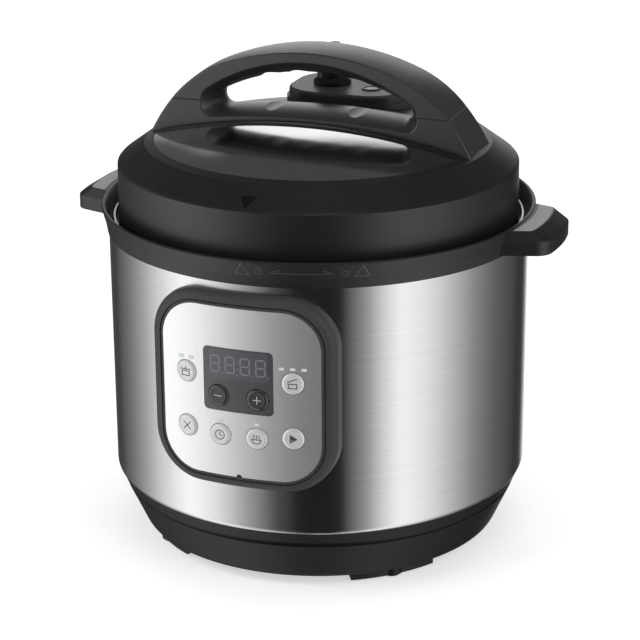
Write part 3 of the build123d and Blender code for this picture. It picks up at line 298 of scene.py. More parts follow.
def soft_rubber(name, colour, roughness, glow):
    """Moulded silicone or rubber: light sinks in a little, and a dusty bloom dulls the surface."""
    finish, tree, shader = new_finish(name, {"Subsurface Weight": glow, "Subsurface Scale": 2 * MM,
                                             "Specular IOR Level": 0.4})
    place = node(tree, "ShaderNodeTexCoord").outputs["Object"]
    bloom = node(tree, "ShaderNodeTexNoise", {"Vector": place, "Scale": repeats(9), "Detail": 4.0})
    tint = node(tree, "ShaderNodeMix", {0: bloom.outputs["Fac"], 6: shade(colour, 0.9),
                                        7: shade(colour, 1.08)}, data_type="RGBA")
    gloss = node(tree, "ShaderNodeMapRange", {"Value": bloom.outputs["Fac"], "To Min": roughness - 0.08,
                                              "To Max": roughness + 0.08})
    tree.links.new(tint.outputs[2], shader.inputs["Base Color"])
    tree.links.new(gloss.outputs["Result"], shader.inputs["Roughness"])
    return finish


def screen_ink(name, colour, roughness):
    """Screen-printed ink: nearly even colour, with the slight unevenness of the mesh it came through."""
    finish, tree, shader = new_finish(name, {})
    place = node(tree, "ShaderNodeTexCoord").outputs["Object"]
    mesh = node(tree, "ShaderNodeTexNoise", {"Vector": place, "Scale": repeats(0.4), "Detail": 1.0})
    tint = node(tree, "ShaderNodeMix", {0: mesh.outputs["Fac"], 6: shade(colour, 0.85),
                                        7: shade(colour, 1.1)}, data_type="RGBA")
    gloss = node(tree, "ShaderNodeMapRange", {"Value": mesh.outputs["Fac"], "To Min": roughness - 0.05,
                                              "To Max": roughness + 0.05})
    tree.links.new(tint.outputs[2], shader.inputs["Base Color"])
    tree.links.new(gloss.outputs["Result"], shader.inputs["Roughness"])
    return finish


def board_laminate(name):
    """Glass-fibre laminate with green resist: a glossy skin over a faint square weave."""
    finish, tree, shader = new_finish(name, {"Coat Weight": 0.5})
    place = node(tree, "ShaderNodeTexCoord").outputs["Object"]
    weave = node(tree, "ShaderNodeTexChecker", {"Vector": place, "Scale": repeats(0.8),
                                                "Color1": linear("1f5a3a"), "Color2": linear("1a4d31")})
    grime = node(tree, "ShaderNodeTexNoise", {"Vector": place, "Scale": repeats(5), "Detail": 2.0})
    gloss = node(tree, "ShaderNodeMapRange", {"Value": grime.outputs["Fac"], "To Min": 0.3, "To Max": 0.5})
    tree.links.new(weave.outputs["Color"], shader.inputs["Base Color"])
    tree.links.new(gloss.outputs["Result"], shader.inputs["Roughness"])
    return finish


def dress(finish, *names):
    """Gives the finish to CAD nodes."""
    for name in names:
        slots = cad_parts[name].material_slots
        if not slots:
            raise RuntimeError(f"{name} has no material slot")
        for slot in slots:
            slot.material = finish


# Flat shapes that the marks are drawn with

def deselect():
    bpy.ops.object.select_all(action="DESELECT")


def to_edit():
    bpy.ops.object.mode_set(mode="EDIT")
    bpy.ops.mesh.select_all(action="SELECT")


def to_object():
    bpy.ops.object.mode_set(mode="OBJECT")


def stroke(start, end, width, segments=3):
    """A straight line with rounded ends, or with pointed ends for one segment."""
    deselect()
    low = Vector(start)
    run = Vector(end) - low
    middle = low + run / 2
    bpy.ops.mesh.primitive_plane_add(size=1.0, location=(middle.x, middle.y, 0.0))
    piece = bpy.context.object
    piece.scale = (run.length + width, width, 1.0)
    piece.rotation_euler = (0.0, 0.0, math.atan2(run.y, run.x))
    bpy.ops.object.transform_apply(location=True, rotation=True, scale=True)
    to_edit()
    bpy.ops.mesh.bevel(affect="VERTICES", offset=width * 0.48, segments=segments)
    to_object()
    return piece


def outline(centre, radius, width, sides=36):
    """A ring, or the outline of a regular polygon when it has few sides."""
    deselect()
    bpy.ops.mesh.primitive_circle_add(vertices=sides, radius=radius, fill_type="NGON",
                                      location=(centre[0], centre[1], 0.0))
    piece = bpy.context.object
    bpy.ops.object.transform_apply(location=True, rotation=True, scale=True)
    to_edit()
    bpy.ops.mesh.inset(thickness=width)
    bpy.ops.mesh.delete(type="FACE")
    to_object()
    return piece


def patch(centre, radius, sides=24, turn=0.0, corner=0.0):
    """A filled disc or polygon with rounded corners."""
    deselect()
    bpy.ops.mesh.primitive_circle_add(vertices=sides, radius=radius, fill_type="NGON",
                                      location=(centre[0], centre[1], 0.0), rotation=(0.0, 0.0, turn))
    piece = bpy.context.object
    bpy.ops.object.transform_apply(location=True, rotation=True, scale=True)
    to_edit()
    if corner:
        bpy.ops.mesh.bevel(affect="VERTICES", offset=corner, segments=3)
    bpy.ops.mesh.inset(thickness=radius * 0.12)
    to_object()
    return piece


def keep_half(piece, point, normal):
    """Cuts a flat shape and drops the side that the normal points away from."""
    to_edit()
    bpy.ops.mesh.bisect(plane_co=(*point, 0.0), plane_no=(*normal, 0.0), clear_inner=True)
    to_object()
    return piece


def box_outline(centre, wide, tall, width):
    """A hollow rectangle."""
    deselect()
    bpy.ops.mesh.primitive_plane_add(size=1.0, location=(centre[0], centre[1], 0.0))
    piece = bpy.context.object
    piece.scale = (wide, tall, 1.0)
    bpy.ops.object.transform_apply(location=True, rotation=True, scale=True)
    to_edit()
    bpy.ops.mesh.inset(thickness=width)
    bpy.ops.mesh.delete(type="FACE")
    to_object()
    return piece


def plate(centre, wide, tall, corner):
    """A filled rectangle with rounded corners."""
    deselect()
    bpy.ops.mesh.primitive_plane_add(size=1.0, location=(centre[0], centre[1], 0.0))
    piece = bpy.context.object
    piece.scale = (wide, tall, 1.0)
    bpy.ops.object.transform_apply(location=True, rotation=True, scale=True)
    to_edit()
    bpy.ops.mesh.bevel(affect="VERTICES", offset=corner, segments=4)
    to_object()
    return piece


def slice_up(piece):
    """Cuts a flat shape into narrow columns, so that it bends with the surface it is laid on."""
    low = piece.bound_box[0][0]
    high = piece.bound_box[6][0]
    to_edit()
    for cut in range(1, math.ceil((high - low) / COLUMN)):
        bpy.ops.mesh.select_all(action="SELECT")
        bpy.ops.mesh.bisect(plane_co=(low + cut * COLUMN, 0.0, 0.0), plane_no=(1.0, 0.0, 0.0))
    to_object()
    return piece


def upright_place(right, up, point):
    """The matrix that stands a flat drawing up on a surface, drawn side outwards."""
    across = Vector(right).normalized()
    rise = Vector(up).normalized()
    out = across.cross(rise)
    turned = Matrix((across, rise, out)).transposed().to_4x4()
    return Matrix.Translation(point) @ turned


def print_on(shapes, name, place, target, body, finish, height):
    """Joins flat shapes, lays them on a CAD node's surface and gives them their height."""
    deselect()
    for shape in shapes:
        shape.select_set(True)
    bpy.context.view_layer.objects.active = shapes[0]
    bpy.ops.object.join()
    mark = bpy.context.object
    mark.name = name
    mark.data.name = name
    mark.matrix_world = place
    bpy.ops.object.transform_apply(location=True, rotation=True, scale=True)
    to_edit()
    bpy.ops.mesh.quads_convert_to_tris()
    bpy.ops.mesh.subdivide(number_cuts=1)
    to_object()
    wrap = mark.modifiers.new("Lay on surface", "SHRINKWRAP")
    wrap.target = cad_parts[target]
    wrap.wrap_method = "NEAREST_SURFACEPOINT"
    wrap.wrap_mode = "ON_SURFACE"
    bpy.ops.object.modifier_apply(modifier=wrap.name)
    thick = mark.modifiers.new("Height", "SOLIDIFY")
    thick.thickness = height
    thick.offset = 1.0
    bpy.ops.object.modifier_apply(modifier=thick.name)
    mark.data.materials.clear()
    mark.data.materials.append(finish)
    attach(mark, body)


# Pictograms, drawn about their own middle

def pot_picture(width):
    """A closed pot with steam: cooking under pressure."""
    return [box_outline((0.0, -1.3 * MM), 5.6 * MM, 3.4 * MM, width),
            stroke((-3.4 * MM, 1.3 * MM), (3.4 * MM, 1.3 * MM), width),
            stroke((0.0, 1.6 * MM), (0.0, 2.8 * MM), width)]


def open_pot_picture(width):
    """A pot with its lid tilted up: cooking with the lid open."""
    return [box_outline((0.0, -1.3 * MM), 5.6 * MM, 3.4 * MM, width),
            stroke((-3.0 * MM, 1.2 * MM), (2.6 * MM, 3.4 * MM), width)]


def cross_picture(width):
    """A cross: stop and clear."""
    reach = 2.4 * MM
    return [stroke((-reach, -reach), (reach, reach), width), stroke((-reach, reach), (reach, -reach), width)]


def clock_picture(width):
    """A clock face: delayed start."""
    return [outline((0.0, 0.0), 3.2 * MM, width), stroke((0.0, 0.0), (0.0, 1.9 * MM), width),
            stroke((0.0, 0.0), (1.4 * MM, -0.6 * MM), width)]


def bowl_picture(width):
    """A bowl with three lines of warmth: keep warm."""
    bowl = keep_half(outline((0.0, 0.0), 3.2 * MM, width), (0.0, -0.2 * MM), (0.0, -1.0))
    warmth = [stroke((x * MM, 0.8 * MM), (x * MM, 2.6 * MM), width) for x in (-1.7, 0.0, 1.7)]
    return [bowl, stroke((-3.0 * MM, -0.2 * MM), (3.0 * MM, -0.2 * MM), width)] + warmth


def start_picture(width):
    """A triangle on its side: start."""
    return [patch((-0.4 * MM, 0.0), 3.2 * MM, sides=3, turn=math.radians(-90), corner=width * 0.5)]


def minus_picture(width):
    """A minus: less."""
    return [stroke((-2.3 * MM, 0.0), (2.3 * MM, 0.0), width)]


def plus_picture(width):
    """A plus: more."""
    return minus_picture(width) + [stroke((0.0, -2.3 * MM), (0.0, 2.3 * MM), width)]


PICTURES = {
    "button_upper_left": pot_picture,
    "button_upper_right": open_pot_picture,
    "button_outer_left": cross_picture,
    "button_inner_left": clock_picture,
    "button_inner_right": bowl_picture,
    "button_outer_right": start_picture,
    "button_minus": minus_picture,
    "button_plus": plus_picture,
}


def digit(centre, wide, height, width):
    """One figure eight of seven pointed bars."""
    half = (wide - width) / 2
    reach = (height - width) / 2
    gap = width * 0.75
    x, y = centre
    bars = [stroke((x - half + gap, y + level), (x + half - gap, y + level), width, 1)
            for level in (-reach, 0.0, reach)]
    for side in (-half, half):
        bars.append(stroke((x + side, y + gap), (x + side, y + reach - gap), width, 1))
        bars.append(stroke((x + side, y - reach + gap), (x + side, y - gap), width, 1))
    return bars


def padlock(centre, width, opened):
    """A padlock outline with its bow closed, or swung aside when opened."""
    x, y = centre
    body = box_outline((x, y - 1.0 * MM), 4.6 * MM, 3.4 * MM, width)
    shift = -2.4 * MM if opened else 0.0
    bow = outline((x + shift, y + 1.2 * MM), 1.5 * MM, width, sides=24)
    bow = keep_half(bow, (x, y + 1.2 * MM), (0.0, 1.0))
    return [body, bow, stroke((x, y - 1.4 * MM), (x, y - 0.6 * MM), width)]


def triangle_outline(centre, wide, width):
    """An upright triangle outline."""
    return outline(centre, wide / math.sqrt(3), width, sides=3)


# Operators

class COOKER_OT_body_finish(bpy.types.Operator):
    """Gives the base, the steel shell, the rim and the carrying ears their finishes"""
    bl_idname = "cooker.body_finish"
    bl_label = "Body finishes"

    def execute(self, context):
        tones = context.scene.cooker_finish
        # Black ABS from a spark-eroded mould: matte, with a broad soft sheen. The grain of about 0.15 mm
        # is drawn at 0.7 mm so that it shows.
        dress(moulded_plastic("moulded_abs_rim", tones.body_black, 0.42, 0.7, 0.03, 0.6), "top_rim")
        # The base is the same black ABS painted darker than the rim: painted shade, so it stays dark above
        # the lit floor
        dress(moulded_plastic("moulded_abs_base_painted_shade", tones.base_black_painted_shade, 0.46, 0.7, 0.03, 0.35), "base_housing")
        # Stainless steel sheet, belt-brushed round the body after rolling: bright bars with fine hairlines
        dress(brushed_steel("brushed_stainless_shell", tones.steel, 0.2, 0.25, 60, 0.9, True), "outer_shell")
        # Grey thermoplastic elastomer: soft to the hand, so dull and a little dusty
        dress(soft_rubber("moulded_elastomer_inlay", tones.inlay_grey, 0.5, 0.0),
              "ear_inlay_right", "ear_inlay_left")
        # Black rubber feet: dull, with a grey bloom
        dress(soft_rubber("moulded_rubber_feet", linear("1c1c1d"), 0.75, 0.0), "foot_pads")
        # Glass-filled polyamide: a coarse dry grain on parts that face the floor and the wall
        dress(moulded_plastic("moulded_polyamide_covers", linear("222224"), 0.58, 0.9, 0.05),
              "bottom_cover", "cup_dock", "inlet_socket", "thermal_cutout", "pressure_switch",
              "tact_switches")
        # Smoky polypropylene cup: waxy sheen, a touch of light passes into the walls
        dress(soft_rubber("moulded_polypropylene_cup", linear("55585c"), 0.35, 0.15), "drip_cup")
        return {"FINISHED"}


class COOKER_OT_panel_finish(bpy.types.Operator):
    """Gives the control panel, its window and its keys their finishes"""
    bl_idname = "cooker.panel_finish"
    bl_label = "Panel finishes"

    def execute(self, context):
        tones = context.scene.cooker_finish
        # Charcoal ABS with a satin mould skin: a soft grey sheen on the sloping frame
        dress(moulded_plastic("moulded_abs_bezel", tones.bezel_grey, 0.44, 0.8, 0.02, 0.25), "panel_bezel")
        # Silver film laid on the bent plate: satin metal under a gloss skin
        dress(silver_film("metallised_film_panel", tones.panel_silver, 0.85, 0.38, 1.0), "panel_plate")
        # The keys are of the same film with little of its gloss skin, dulled by the forming of their domes
        dress(silver_film("formed_film_keys", tones.panel_silver, 0.45, 0.5, 0.15), *SILVER_KEYS)
        # Smoked acrylic, cast and polished: the window, and the two darker keys
        dress(smoked_film("smoked_acrylic_window", tones.window_smoke, 0.8), "display_window")
        dress(smoked_film("smoked_acrylic_keys", shade(tones.window_smoke, 0.6), 0.7), *SMOKED_KEYS)
        # White light guides: milky acrylic that spreads the lamp behind it
        dress(soft_rubber("milky_acrylic_guides", linear("f0f0ee"), 0.3, 0.2), "indicator_lenses")
        # Black epoxy cast round the display's lamps: smooth, hidden behind the window
        dress(moulded_plastic("black_epoxy_display", linear("141416"), 0.25, 1.2, 0.01), "display_module")
        return {"FINISHED"}


class COOKER_OT_lid_finish(bpy.types.Operator):
    """Gives the lid, its handle and its valves their finishes"""
    bl_idname = "cooker.lid_finish"
    bl_label = "Lid finishes"

    def execute(self, context):
        tones = context.scene.cooker_finish
        # Black polypropylene, finely spark-eroded: deep matte with a wide soft highlight
        dress(moulded_plastic("moulded_polypropylene_lid", tones.lid_black, 0.4, 0.7, 0.025, 0.65),
              "lid_cover")
        # Black polyamide handle, satin: smoother than the lid, so its top edge shines
        dress(moulded_plastic("moulded_polyamide_handle", tones.handle_black, 0.36, 0.6, 0.015, 1.0),
              "handle_base", "handle_grip")
        # The same polyamide from a coarser mould, so duller than the handle, and painted 1.4 times paler:
        # painted light for the tops that face up
        dress(moulded_plastic("moulded_polyamide_platform_painted_light", shade(tones.handle_black, 1.4), 0.42, 0.7, 0.02),
              "valve_platform", "float_bush")
        # Pressed phenolic resin, which stands steam: deep black and smooth
        dress(moulded_plastic("moulded_phenolic_knob", linear("161617"), 0.3, 0.8, 0.01), "steam_knob")
        # Bright stainless crescent, finely polished: a near mirror with a soft edge to its reflections
        dress(brushed_steel("polished_stainless_crescent", tones.steel, 0.11, 0.4, 30, 0.0, False),
              "crescent_plate")
        # Pressed stainless steel with its rolled surface left as it is
        dress(brushed_steel("pressed_stainless_lid", tones.steel, 0.26, 0.5, 36, 0.3, False),
              "lid_inner", "seal_rack", "anti_block_shield")
        # Milky silicone, so that light sinks into its edges
        dress(soft_rubber("moulded_silicone_seal", tones.silicone, 0.45, 0.3), "sealing_ring", "float_gasket")
        # Turned stainless steel, dulled by steam
        dress(worked_metal("turned_stainless_float", shade(tones.steel, 0.6), 0.42, 0.6, 0.004),
              "float_valve")
        return {"FINISHED"}


class COOKER_OT_inside_finish(bpy.types.Operator):
    """Gives the pot, the heater and the hidden electrics their finishes"""
    bl_idname = "cooker.inside_finish"
    bl_label = "Inside finishes"

    def execute(self, context):
        tones = context.scene.cooker_finish
        # Stainless steel spun to shape: fine rings round the pot, coarser ones on the sheet parts round it
        dress(brushed_steel("spun_stainless_pot", tones.steel, 0.38, 0.4, 80, 0.2, True), "inner_pot")
        dress(brushed_steel("drawn_stainless_housing", shade(tones.steel, 0.85), 0.36, 0.7, 50, 0.2, True),
              "drip_trough", "pot_housing", "support_posts")
        # Die-cast aluminium: grey, grainy and softly bright
        dress(worked_metal("die_cast_aluminium", linear("b3b4b6"), 0.45, 0.7, 0.02),
              "heating_plate", "temperature_sensor")
        # Steel oxidised by heat: a dull warm grey
        dress(worked_metal("oxidised_steel_element", linear("6f6a66"), 0.5, 0.5, 0.01),
              "heating_element", "sensor_spring")
        # Drawn brass pins and pipe, and bright zinc on the screws
        dress(worked_metal("drawn_brass", linear("c7a35a"), 0.28, 0.5, 0.005), "inlet_pins", "steam_pipe")
        dress(worked_metal("zinc_plated_steel", linear("a9aaab"), 0.32, 0.4, 0.006),
              "cover_screws", "board_screws", "lid_screws")
        # Green laminate boards, and a milky silicone tube
        dress(board_laminate("green_glass_laminate"), "power_board", "control_board")
        dress(soft_rubber("extruded_silicone_drain", linear("d8d8d4"), 0.4, 0.4), "drain_tube")
        return {"FINISHED"}


class COOKER_OT_display_digits(bpy.types.Operator):
    """Draws the unlit figures of the display on its window"""
    bl_idname = "cooker.display_digits"
    bl_label = "Display figures"

    def execute(self, context):
        marks = context.scene.cooker_marks
        height = marks.digit_height
        shapes = []
        for step in (-1.5, -0.5, 0.5, 1.5):
            x = step * marks.digit_pitch
            shapes += digit((x, 0.0), marks.digit_width, height, marks.digit_stroke)
            shapes.append(patch((x + marks.digit_pitch / 2, -height / 2), DOT_RADIUS, sides=12))
        for level in (-0.2, 0.2):
            shapes.append(patch((CELL_SHIFT, level * height), DOT_RADIUS, sides=12))
        middle = (WINDOW_LOW.x + WINDOW_HIGH.x) / 2
        place = upright_place((1, 0, 0), (0, 0, 1), (middle, PANEL_FACE, WINDOW_HIGH.z - CELL_DROP))
        # The cell behind the window reads as a slightly paler field, and its dark bars still show unlit
        field = [slice_up(plate((CELL_SHIFT, 0.0), CELL_WIDE, CELL_TALL, CELL_CORNER))]
        cell = smoked_film("unlit_display_cell", linear("54565a"), 0.8)
        print_on(field, "display_cell", place, "display_window", "base", cell, marks.ink / 2)
        ink = screen_ink("unlit_segment_film", linear("84868a"), 0.3)
        print_on(shapes, "display_digits", place, "display_window", "base", ink, marks.ink)
        return {"FINISHED"}


class COOKER_OT_key_marks(bpy.types.Operator):
    """Prints a plain sign on each key"""
    bl_idname = "cooker.key_marks"
    bl_label = "Key signs"

    def execute(self, context):
        marks = context.scene.cooker_marks
        tones = context.scene.cooker_finish
        dark = screen_ink("dark_screen_ink", tones.ink_dark, 0.45)
        light = screen_ink("light_screen_ink", tones.ink_light, 0.4)
        for key, picture in PICTURES.items():
            low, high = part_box(key)
            lean = math.asin((low.x + high.x) / 2 / KEY_COLLAR)
            face = (KEY_FACE * math.sin(lean), PANEL_AXIS - KEY_FACE * math.cos(lean), (low.z + high.z) / 2)
            place = upright_place((math.cos(lean), math.sin(lean), 0), (0, 0, 1), face)
            ink = light if key in SMOKED_KEYS else dark
            sign = key.replace("button", "sign")
            print_on(picture(marks.key_stroke), sign, place, key, key, ink, marks.ink)
        return {"FINISHED"}


class COOKER_OT_rim_marks(bpy.types.Operator):
    """Raises the closed and open marks on the rim, with the arrow between them"""
    bl_idname = "cooker.rim_marks"
    bl_label = "Rim marks"

    def execute(self, context):
        marks = context.scene.cooker_marks
        tones = context.scene.cooker_finish
        width = marks.rim_stroke
        # The raised lines are the rim's black plastic painted five times lighter: a painted highlight along
        # the marks
        line = moulded_plastic("moulded_abs_raised_line_painted_highlight", shade(tones.body_black, 5.0), 0.3, 0.6, 0.01, 0.8)
        closed = self.triangle_and_lock(width, RIM_LOCK_SHIFT, False)
        opened = self.triangle_and_lock(width, -RIM_LOCK_SHIFT, True)
        reach = RIM_ARROW_REACH
        level = RIM_ARROW_LEVEL
        turn = [slice_up(stroke((-reach, level), (reach, level), width))]
        for side in (-1.0, 1.0):
            inner = side * (reach - RIM_ARROWHEAD_LONG)
            turn.append(stroke((side * reach, level), (inner, level + RIM_ARROWHEAD_TALL), width))
        start = marks.rim_closed_angle
        self.raise_mark(closed, "rim_mark_closed", start, line, marks.relief)
        self.raise_mark(turn, "rim_mark_turn", start + marks.rim_open_angle / 2, line, marks.relief)
        self.raise_mark(opened, "rim_mark_open", start + marks.rim_open_angle, line, marks.relief)
        return {"FINISHED"}

    def triangle_and_lock(self, width, shift, opened):
        """A triangle with a padlock to one side of it."""
        triangle = triangle_outline((0.0, -RIM_TRIANGLE_DROP), RIM_TRIANGLE_WIDE, width)
        return [triangle] + padlock((shift, 0.0), width, opened)

    def raise_mark(self, shapes, name, turn, finish, height):
        """Lays a mark on the sloping rim at an angle from the front."""
        angle = turn - math.pi / 2
        out = Vector((math.cos(angle), math.sin(angle), 0.0))
        up = out * RIM_SLOPE[0] + Vector((0, 0, RIM_SLOPE[1]))
        across = Vector((-math.sin(angle), math.cos(angle), 0.0))
        point = out * RIM_RADIUS + Vector((0, 0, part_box("top_rim")[1].z - RIM_MARK_DROP))
        place = upright_place(across, up, point)
        print_on(shapes, name, place, "top_rim", "base", finish, height)


class COOKER_OT_lid_mark(bpy.types.Operator):
    """Sets the arrow on the front of the lid"""
    bl_idname = "cooker.lid_mark"
    bl_label = "Lid arrow"

    def execute(self, context):
        marks = context.scene.cooker_marks
        radius = marks.lid_arrow / math.sqrt(3)
        arrow = patch((0.0, 0.0), radius, sides=3, turn=math.radians(180), corner=LID_ARROW_CORNER)
        place = upright_place((1, 0, 0), LID_ARROW_UP, LID_ARROW_PLACE)
        gloss = moulded_plastic("moulded_polypropylene_arrow", linear("0d0d0e"), 0.22, 0.8, 0.005)
        print_on([arrow], "lid_arrow", place, "lid_cover", "lid", gloss, LID_ARROW_HEIGHT)
        return {"FINISHED"}


# The studio is a round tent, in metres and degrees. Its steps are angles from the camera's side, left
# negative, and the brightness that the steel mirrors there: a broad left panel, a dark gap behind the
# camera, a narrower right panel, and the pale wall behind the object.
TENT_RADIUS = 3.6
CEILING_LOW = 1.85
CEILING_HIGH = 2.05
CEILING_LEVEL = 0.05
TENT_STEPS = ((-180, 0.90), (-173, 0.80), (-166, 0.06), (-148, 0.03), (-125, 0.16), (-109, 0.35), (-92, 0.70),
              (-76, 0.97), (-59, 0.73), (-42, 0.33), (-25, 0.067), (-12, 0.012), (12, 0.010), (14, 0.06),
              (25, 0.26), (34, 0.60), (44, 0.90), (59, 0.75), (76, 0.456), (92, 0.223), (109, 0.107),
              (130, 0.055), (141, 0.02), (152, 0.03), (162, 0.60), (180, 0.90))
# The soft box in the ceiling fades in between two cosines of the angle from its middle
SOFT_BOX_RISE = 64
SOFT_BOX_EDGE = 0.955
SOFT_BOX_FULL = 0.98
SOFT_BOX_LEVEL = 0.4
# The floor glows more with the distance from the object
FLOOR_NEAR = 0.7
FLOOR_FAR = 1.6
FLOOR_NEAR_LIFT = 0.55
FLOOR_FAR_LIFT = 0.75
# The camera's target, beside the object's axis and above the floor
TARGET_SIDE = 0.36 * MM
TARGET_HEIGHT = 136.1 * MM


def tent_finish(azimuth, level):
    """Light panels on the studio wall, by direction, under a dim ceiling with a soft box in front."""
    finish = bpy.data.materials.new("studio_light_panels")
    finish.use_nodes = True
    finish.cycles.emission_sampling = "NONE"
    tree = finish.node_tree
    tree.nodes.clear()
    place = node(tree, "ShaderNodeTexCoord").outputs["Object"]
    turned = node(tree, "ShaderNodeMapping", {"Vector": place, "Rotation": (0, 0, math.pi / 2 - azimuth)})
    around = node(tree, "ShaderNodeTexGradient", {"Vector": turned.outputs["Vector"]}, gradient_type="RADIAL")
    wall = node(tree, "ShaderNodeValToRGB", {"Fac": around.outputs["Fac"]})
    stops = wall.color_ramp.elements
    for angle, bright in TENT_STEPS[1:-1]:
        stops.new((angle + 180) / 360)
    for stop, (angle, bright) in zip(stops, TENT_STEPS):
        stop.position = (angle + 180) / 360
        stop.color = grey(bright)
    height = node(tree, "ShaderNodeSeparateXYZ", {"Vector": place})
    ceiling = node(tree, "ShaderNodeMapRange", {"Value": height.outputs["Z"], "From Min": CEILING_LOW,
                                                "From Max": CEILING_HIGH})
    dimmed = node(tree, "ShaderNodeMix", {0: ceiling.outputs["Result"], 6: wall.outputs["Color"],
                                          7: grey(CEILING_LEVEL)}, data_type="RGBA")
    rise = math.radians(SOFT_BOX_RISE)
    front = (math.sin(azimuth) * math.cos(rise), -math.cos(azimuth) * math.cos(rise), math.sin(rise))
    facing = node(tree, "ShaderNodeVectorMath", {0: place, 1: front}, operation="DOT_PRODUCT")
    box = node(tree, "ShaderNodeMapRange", {"Value": facing.outputs["Value"],
                                            "From Min": SOFT_BOX_EDGE * TENT_RADIUS,
                                            "From Max": SOFT_BOX_FULL * TENT_RADIUS})
    lit = node(tree, "ShaderNodeMix", {0: box.outputs["Result"], 6: dimmed.outputs[2],
                                       7: grey(SOFT_BOX_LEVEL)}, data_type="RGBA")
    glow = node(tree, "ShaderNodeEmission", {"Color": lit.outputs[2], "Strength": level})
    node(tree, "ShaderNodeOutputMaterial", {"Surface": glow.outputs["Emission"]})
    return finish


def floor_finish():
    """Pale seamless paper: it keeps the soft shadow, and the camera sees it lifted to white."""
    finish, tree, shader = new_finish("pale_studio_paper", {"Roughness": 0.9, "Specular IOR Level": 0.0})
    place = node(tree, "ShaderNodeTexCoord").outputs["Object"]
    fibre = node(tree, "ShaderNodeTexNoise", {"Vector": place, "Scale": repeats(3), "Detail": 2.0})
    tint = node(tree, "ShaderNodeMix", {0: fibre.outputs["Fac"], 6: grey(0.79), 7: grey(0.81)},
                data_type="RGBA")
    ray = node(tree, "ShaderNodeLightPath")
    away = node(tree, "ShaderNodeVectorMath", {0: place}, operation="LENGTH")
    glow = node(tree, "ShaderNodeMapRange", {"Value": away.outputs["Value"], "From Min": FLOOR_NEAR,
                                             "From Max": FLOOR_FAR, "To Min": FLOOR_NEAR_LIFT,
                                             "To Max": FLOOR_FAR_LIFT})
    lift = node(tree, "ShaderNodeMath", {0: ray.outputs["Is Camera Ray"], 1: glow.outputs["Result"]},
                operation="MULTIPLY")
    tree.links.new(tint.outputs[2], shader.inputs["Base Color"])
    shader.inputs["Emission Color"].default_value = grey(1.0)
    tree.links.new(lift.outputs["Value"], shader.inputs["Emission Strength"])
    return finish


def studio_world(ambient):
    """White to the camera, mirrors and glass, and a plain even light to everything else."""
    world = bpy.data.worlds.new("studio_white")
    bpy.context.scene.world = world
    world.use_nodes = True
    tree = world.node_tree
    tree.nodes.clear()
    ray = node(tree, "ShaderNodeLightPath")
    seen = node(tree, "ShaderNodeMath", {0: ray.outputs["Is Camera Ray"], 1: ray.outputs["Is Glossy Ray"]},
                operation="MAXIMUM")
    clear = node(tree, "ShaderNodeMath", {0: seen.outputs["Value"], 1: ray.outputs["Is Transmission Ray"]},
                 operation="MAXIMUM")
    strength = node(tree, "ShaderNodeMapRange", {"Value": clear.outputs["Value"], "To Min": ambient,
                                                 "To Max": 1.0})
    white = node(tree, "ShaderNodeBackground", {"Color": grey(1.0),
                                                "Strength": strength.outputs["Result"]})
    node(tree, "ShaderNodeOutputWorld", {"Surface": white.outputs["Background"]})


def lamp(name, place, aim, size, power):
    """A square soft lamp that shades the object and is left out of its mirror images."""
    light = bpy.data.lights.new(name, "AREA")
    light.size = size
    light.energy = power
    held = bpy.data.objects.new(name, light)
    bpy.context.scene.collection.objects.link(held)
    held.location = place
    held.rotation_euler = (Vector(aim) - Vector(place)).to_track_quat("-Z", "Y").to_euler()
    held.visible_glossy = False


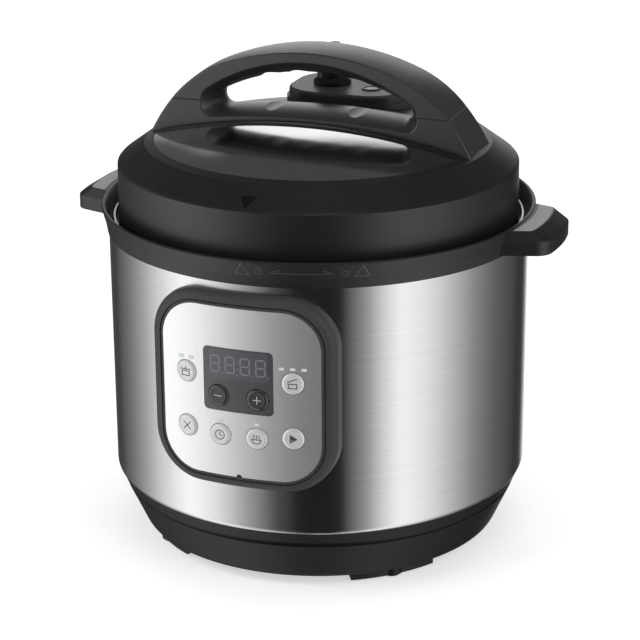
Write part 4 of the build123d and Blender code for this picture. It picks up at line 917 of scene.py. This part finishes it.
class COOKER_OT_stage(bpy.types.Operator):
    """Sets up the floor, the light and the camera"""
    bl_idname = "cooker.stage"
    bl_label = "Studio"

    def execute(self, context):
        studio = context.scene.cooker_studio
        self.floor()
        self.tent(studio)
        studio_world(studio.ambient)
        aim = (0.0, 0.0, 0.15)
        lamp("key_lamp", (-1.5, -1.3, 1.5), aim, 1.3, studio.key_power)
        lamp("fill_lamp", (1.7, -0.9, 1.2), aim, 1.2, studio.fill_power)
        lamp("top_lamp", (0.1, 0.5, 2.0), aim, 1.6, studio.top_power)
        self.camera(context, studio)
        context.scene.view_settings.view_transform = "Standard"
        return {"FINISHED"}

    def floor(self):
        deselect()
        bpy.ops.mesh.primitive_plane_add(size=4.0)
        floor = bpy.context.object
        floor.name = "studio_floor"
        to_edit()
        bpy.ops.mesh.inset(thickness=0.5)
        bpy.ops.mesh.select_all(action="SELECT")
        bpy.ops.transform.resize(value=(3.0, 3.0, 1.0))
        to_object()
        bpy.ops.object.transform_apply(location=True, rotation=True, scale=True)
        floor.data.materials.append(floor_finish())
        floor.visible_glossy = False

    def tent(self, studio):
        deselect()
        bpy.ops.mesh.primitive_uv_sphere_add(segments=48, ring_count=24, radius=TENT_RADIUS)
        tent = bpy.context.object
        tent.name = "studio_tent"
        to_edit()
        bpy.ops.mesh.flip_normals()
        to_object()
        tent.data.materials.append(tent_finish(studio.azimuth, studio.tent_level))
        # Only mirrors see the tent
        tent.visible_camera = False
        tent.visible_diffuse = False
        tent.visible_shadow = False
        tent.visible_transmission = False

    def camera(self, context, studio):
        seen = bpy.data.cameras.new("camera")
        seen.lens = studio.lens
        seen.sensor_width = 36.0
        held = bpy.data.objects.new("camera", seen)
        context.scene.collection.objects.link(held)
        side = Vector((math.cos(studio.azimuth), math.sin(studio.azimuth), 0.0))
        front = Vector((math.sin(studio.azimuth), -math.cos(studio.azimuth), 0.0))
        target = side * TARGET_SIDE + Vector((0.0, 0.0, TARGET_HEIGHT))
        away = front * math.cos(studio.elevation) + Vector((0.0, 0.0, math.sin(studio.elevation)))
        held.location = target + away * studio.distance
        look = (-away).to_track_quat("-Z", "Y") @ Quaternion((0.0, 0.0, 1.0), studio.roll)
        held.rotation_euler = look.to_euler()
        context.scene.camera = held


class COOKER_PT_sidebar(bpy.types.Panel):
    """Lists the settings and the steps"""
    bl_idname = "COOKER_PT_sidebar"
    bl_label = "Pressure cooker"
    bl_space_type = "VIEW_3D"
    bl_region_type = "UI"
    bl_category = "Cooker"

    def draw(self, context):
        layout = self.layout
        for group in (context.scene.cooker_finish, context.scene.cooker_marks, context.scene.cooker_studio):
            box = layout.box()
            for name in group.__annotations__:
                box.prop(group, name)
        for step in STEPS:
            layout.operator(step.bl_idname)


GROUPS = {"cooker_finish": CookerFinish, "cooker_marks": CookerMarks, "cooker_studio": CookerStudio}
STEPS = (COOKER_OT_body_finish, COOKER_OT_panel_finish, COOKER_OT_lid_finish, COOKER_OT_inside_finish,
         COOKER_OT_display_digits, COOKER_OT_key_marks, COOKER_OT_rim_marks, COOKER_OT_lid_mark,
         COOKER_OT_stage)


def register():
    for group in GROUPS.values():
        bpy.utils.register_class(group)
    for name, group in GROUPS.items():
        setattr(bpy.types.Scene, name, PointerProperty(type=group))
    for step in STEPS:
        bpy.utils.register_class(step)
    bpy.utils.register_class(COOKER_PT_sidebar)


def unregister():
    bpy.utils.unregister_class(COOKER_PT_sidebar)
    for step in reversed(STEPS):
        bpy.utils.unregister_class(step)
    for name, group in GROUPS.items():
        delattr(bpy.types.Scene, name)
        bpy.utils.unregister_class(group)


def main():
    register()
    bpy.ops.cooker.body_finish()
    bpy.ops.cooker.panel_finish()
    bpy.ops.cooker.lid_finish()
    bpy.ops.cooker.inside_finish()
    bpy.ops.cooker.display_digits()
    bpy.ops.cooker.key_marks()
    bpy.ops.cooker.rim_marks()
    bpy.ops.cooker.lid_mark()
    bpy.ops.cooker.stage()


if __name__ == "__main__":
    main()
